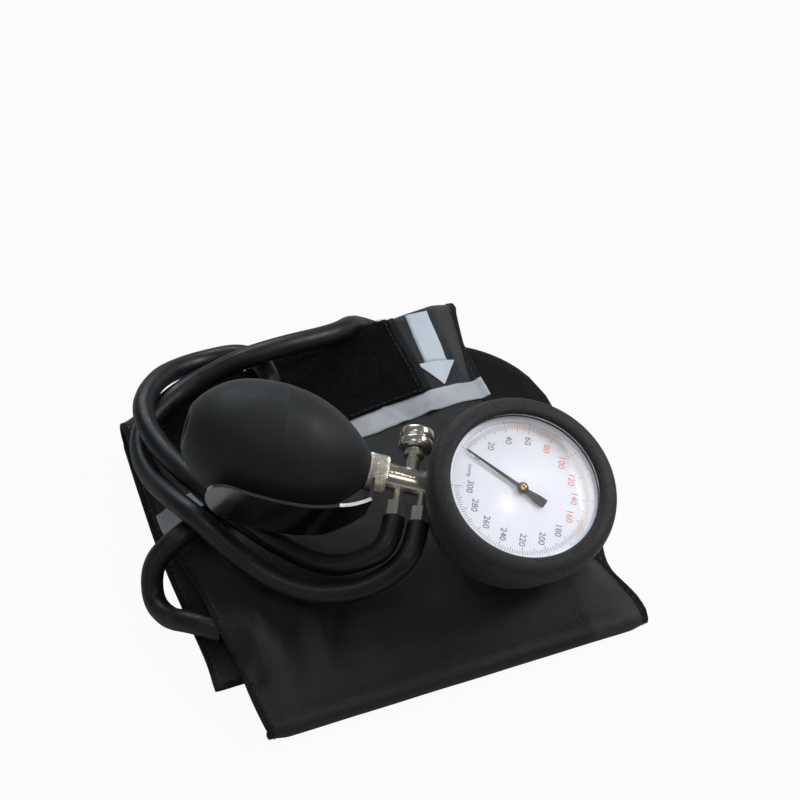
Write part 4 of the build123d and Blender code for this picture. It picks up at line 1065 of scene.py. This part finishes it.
# Release knob: two smooth rings over a thin groove
KNOB_OUTLINE = [
    (1.35, 12.5), (5.3, 12.5), (5.9, 12.8), (6.1, 13.3), (6.1, 15.5), (5.9, 15.95), (5.3, 16.05),
    (5.3, 16.55), (5.9, 16.65), (6.1, 17.1), (6.1, 19.2), (5.8, 19.8), (5.1, 20.1), (4.5, 20.05),
    (4.1, 19.85), (0.03, 19.85), (0.03, 16.2), (1.35, 16.2),
]
KNOB_AXIS = -36.8
knob = turned("release_knob_rings", rounded(KNOB_OUTLINE, 1), FINISHES["valve_chrome"], 96, "Y", KNOB_AXIS)
finished(knob, ["release_knob"], "knob")

# Collar with a fine straight knurl
COLLAR_OUTLINE = [
    (5.0, -53.0), (6.3, -53.0), (6.7, -52.8), (6.9, -52.5), (6.9, -50.0), (6.9, -47.8), (6.9, -46.1),
    (6.7, -45.8), (6.3, -45.6), (5.0, -45.6),
]
collar = turned("collar_knurl", COLLAR_OUTLINE, KNURLS, 320, "X", teeth=64, depth=0.22, tooth_from=6.6)
finished(collar, ["knurled_collar"])

# Brass pin end in the pointer's dark hub
PIN = [(0.3, 16.76), (1.15, 16.76), (1.05, 16.95), (0.4, 16.95)]
hub_ring = turned("hub_pin", PIN, FINISHES["brass_plain"], 48)
finished(hub_ring, body="pointer_arbor")

# Dial: pale sloped rim, ticks and numbers. Angles are in degrees, heights in the gauge's millimetres.
SCALE_ZERO, PER_UNIT = 156.0, 325.0 / 300.0
DIAL_FACE, RIM_FACE, TICK_THICKNESS = 14.55, 14.9, 0.05
RIM = [(25.5, 14.52), (25.7, 14.9), (27.2, 15.75), (27.6, 15.75), (27.6, 14.52)]
rim_ring = turned("dial_rim", RIM, FINISHES["dial_white"], 160)
finished(rim_ring)


def tick_group():
    """A ring of equal marks, set out by angle on a flat dial."""
    sizes = dict.fromkeys(("First angle", "Step angle", "Radius", "Length", "Width", "Height"), "Float")
    group, given, keys = new_group("dial_ticks", Count="Int", **sizes, Ink="Material")
    line = group.add("GeometryNodeMeshLine", {"Count": given["Count"], "Offset": (0, 0, 0)})["Mesh"]
    index = group.add("GeometryNodeInputIndex")[0]
    angle = group.maths("ADD", group.maths("MULTIPLY", index, given["Step angle"]), given["First angle"])
    middle = group.maths("ADD", given["Radius"], group.maths("MULTIPLY", given["Length"], 0.5))
    x, y = (group.maths("MULTIPLY", group.maths(function, angle), middle) for function in ("COSINE", "SINE"))
    inputs = {"Geometry": line, "Position": group.vector(X=x, Y=y, Z=given["Height"])}
    spots = group.add("GeometryNodeSetPosition", inputs)["Geometry"]
    size = group.vector(X=given["Length"], Y=given["Width"], Z=TICK_THICKNESS)
    mark = group.add("GeometryNodeMeshCube", {"Size": size})["Mesh"]
    set_out(group, spots, mark, given["Ink"], Rotation=group.vector(Z=angle))
    return group, keys


TICKS = tick_group()


def scale_angle(value):
    """Angle of a pressure on the dial, anticlockwise from the valve's axis."""
    return radians(SCALE_ZERO - value * PER_UNIT)


def on_dial(piece):
    """A piece that was drawn in the gauge's own millimetres, set in its place."""
    piece.data.transform(GAUGE)
    finished(piece)


def tick_row(name, first, last, step, radius, length, width, ink, height=DIAL_FACE):
    count = int(round((last - first) / step)) + 1
    angles = {"First angle": scale_angle(first), "Step angle": -radians(step * PER_UNIT)}
    sizes = {"Radius": radius, "Length": length, "Width": width, "Height": height}
    on_dial(grown(name, bpy.data.meshes.new(name), *TICKS, Count=count, **angles, **sizes, Ink=ink))


tick_row("ticks_low", 0, 38, 2, 22.9, 1.5, 0.14, INK_GREY)
tick_row("ticks_working", 40, 170, 2, 22.9, 1.6, 0.20, INK_ORANGE)
tick_row("ticks_high", 172, 300, 2, 22.9, 1.5, 0.14, INK_GREY)
tick_row("ticks_ten", 0, 300, 10, 22.2, 2.2, 0.14, INK_GREY)
tick_row("ticks_twenty", 0, 300, 20, 21.8, 2.6, 0.16, INK_GREY)
tick_row("rim_marks", 0, 300, 20, 25.0, 1.2, 0.16, INK_DARK, height=RIM_FACE)


def dial_text(name, body, radius, angle, size, ink):
    """A word that reads upright with the dial's twelve o'clock on the valve's axis."""
    curve = bpy.data.curves.new(name, "FONT")
    curve.body = body
    curve.size = size
    curve.align_x = curve.align_y = "CENTER"
    curve.extrude = 0.015
    curve.resolution_u = 4
    curve.materials.append(ink)
    plain_word = as_mesh(new_object(name, curve))
    spot = Matrix.Translation((radius * cos(angle), radius * sin(angle), DIAL_FACE))
    plain_word.data.transform(spot @ Matrix.Rotation(radians(-90.0), 4, "Z"))
    on_dial(plain_word)


NUMBER_RADIUS, NUMBER_SIZE = 18.9, 3.3
for value in (*range(20, 301, 20), 0):
    ink = INK_RED if 80 <= value <= 160 else INK_GREY
    dial_text(f"number_{value}", str(value), NUMBER_RADIUS, scale_angle(value), NUMBER_SIZE, ink)
dial_text("unit_label", "mmHg", 19.6, radians(173.0), 1.8, INK_GREY)

# Floor, world and lamps
FLOOR_GLOW = 0.95
paper = Finish("floor_paper", (0.45, 0.45, 0.45), 0.9)
glow = paper.add("ShaderNodeEmission", {"Strength": 1.0})["Emission"]
seen = paper.add("ShaderNodeLightPath")["Is Camera Ray"]
paper.show(paper.mixed(paper.maths("MULTIPLY", seen, FLOOR_GLOW), paper.shader.outputs["BSDF"], glow))
floor_mesh = bpy.data.meshes.new("floor")
floor_mesh.from_pydata([(-4, -4, 0), (4, -4, 0), (4, 4, 0), (-4, 4, 0)], [], [(0, 1, 2, 3)])
floor_mesh.materials.append(paper.material)
floor = new_object("floor", floor_mesh)
floor.location.z = -0.0001

world = bpy.data.worlds.new("room")
world.use_nodes = True
bpy.context.scene.world = world
sky = Nodes(world.node_tree)


def backdrop(colour, strength):
    inputs = {"Color": (*colour, 1.0), "Strength": strength}
    return sky.add("ShaderNodeBackground", inputs)["Background"]


ROOM = (0.95, 0.97, 1.0)
rays = sky.add("ShaderNodeLightPath")
lit = sky.mixed(rays["Is Glossy Ray"], backdrop(ROOM, 0.42), backdrop(ROOM, 0.10))
sky.show(sky.mixed(rays["Is Camera Ray"], lit, backdrop((1, 1, 1), 1.0)), "World Output")


def lamp(name, location, target, size, power, colour):
    data = bpy.data.lights.new(name, "AREA")
    data.shape = "RECTANGLE"
    data.size, data.size_y = size
    data.energy = power
    data.color = colour
    light = new_object(name, data)
    light.location = location
    light.rotation_euler = (Vector(target) - Vector(location)).to_track_quat("-Z", "Y").to_euler()


lamp("window", (0.10, 0.85, 0.70), (0, 0, 0.02), (0.8, 0.5), 5.0, (0.86, 0.94, 1.0))
lamp("side_window", (0.86, -0.06, 0.63), (0.04, -0.04, 0.04), (0.40, 0.20), 3.4, (0.94, 0.97, 1.0))
lamp("side_glow", (0.86, -0.06, 0.63), (0.04, -0.04, 0.04), (0.60, 0.36), 1.6, (0.94, 0.97, 1.0))
lamp("ceiling", (0.431, -0.172, 0.959), (0.03, -0.04, 0.04), (0.03, 0.03), 0.22, (1.0, 0.74, 0.48))
lamp("key", (-0.24, -0.04, 1.0), (0.02, -0.02, 0.03), (0.36, 0.36), 0.75, (0.98, 0.99, 1.0))
lamp("front", (0.18, -0.64, 0.80), (0.0, -0.04, 0.04), (0.34, 0.26), 0.7, (1.0, 0.96, 0.88))
lamp("fill", (-0.80, -0.45, 0.50), (0, 0, 0.02), (0.5, 0.4), 0.4, (1.0, 0.93, 0.85))
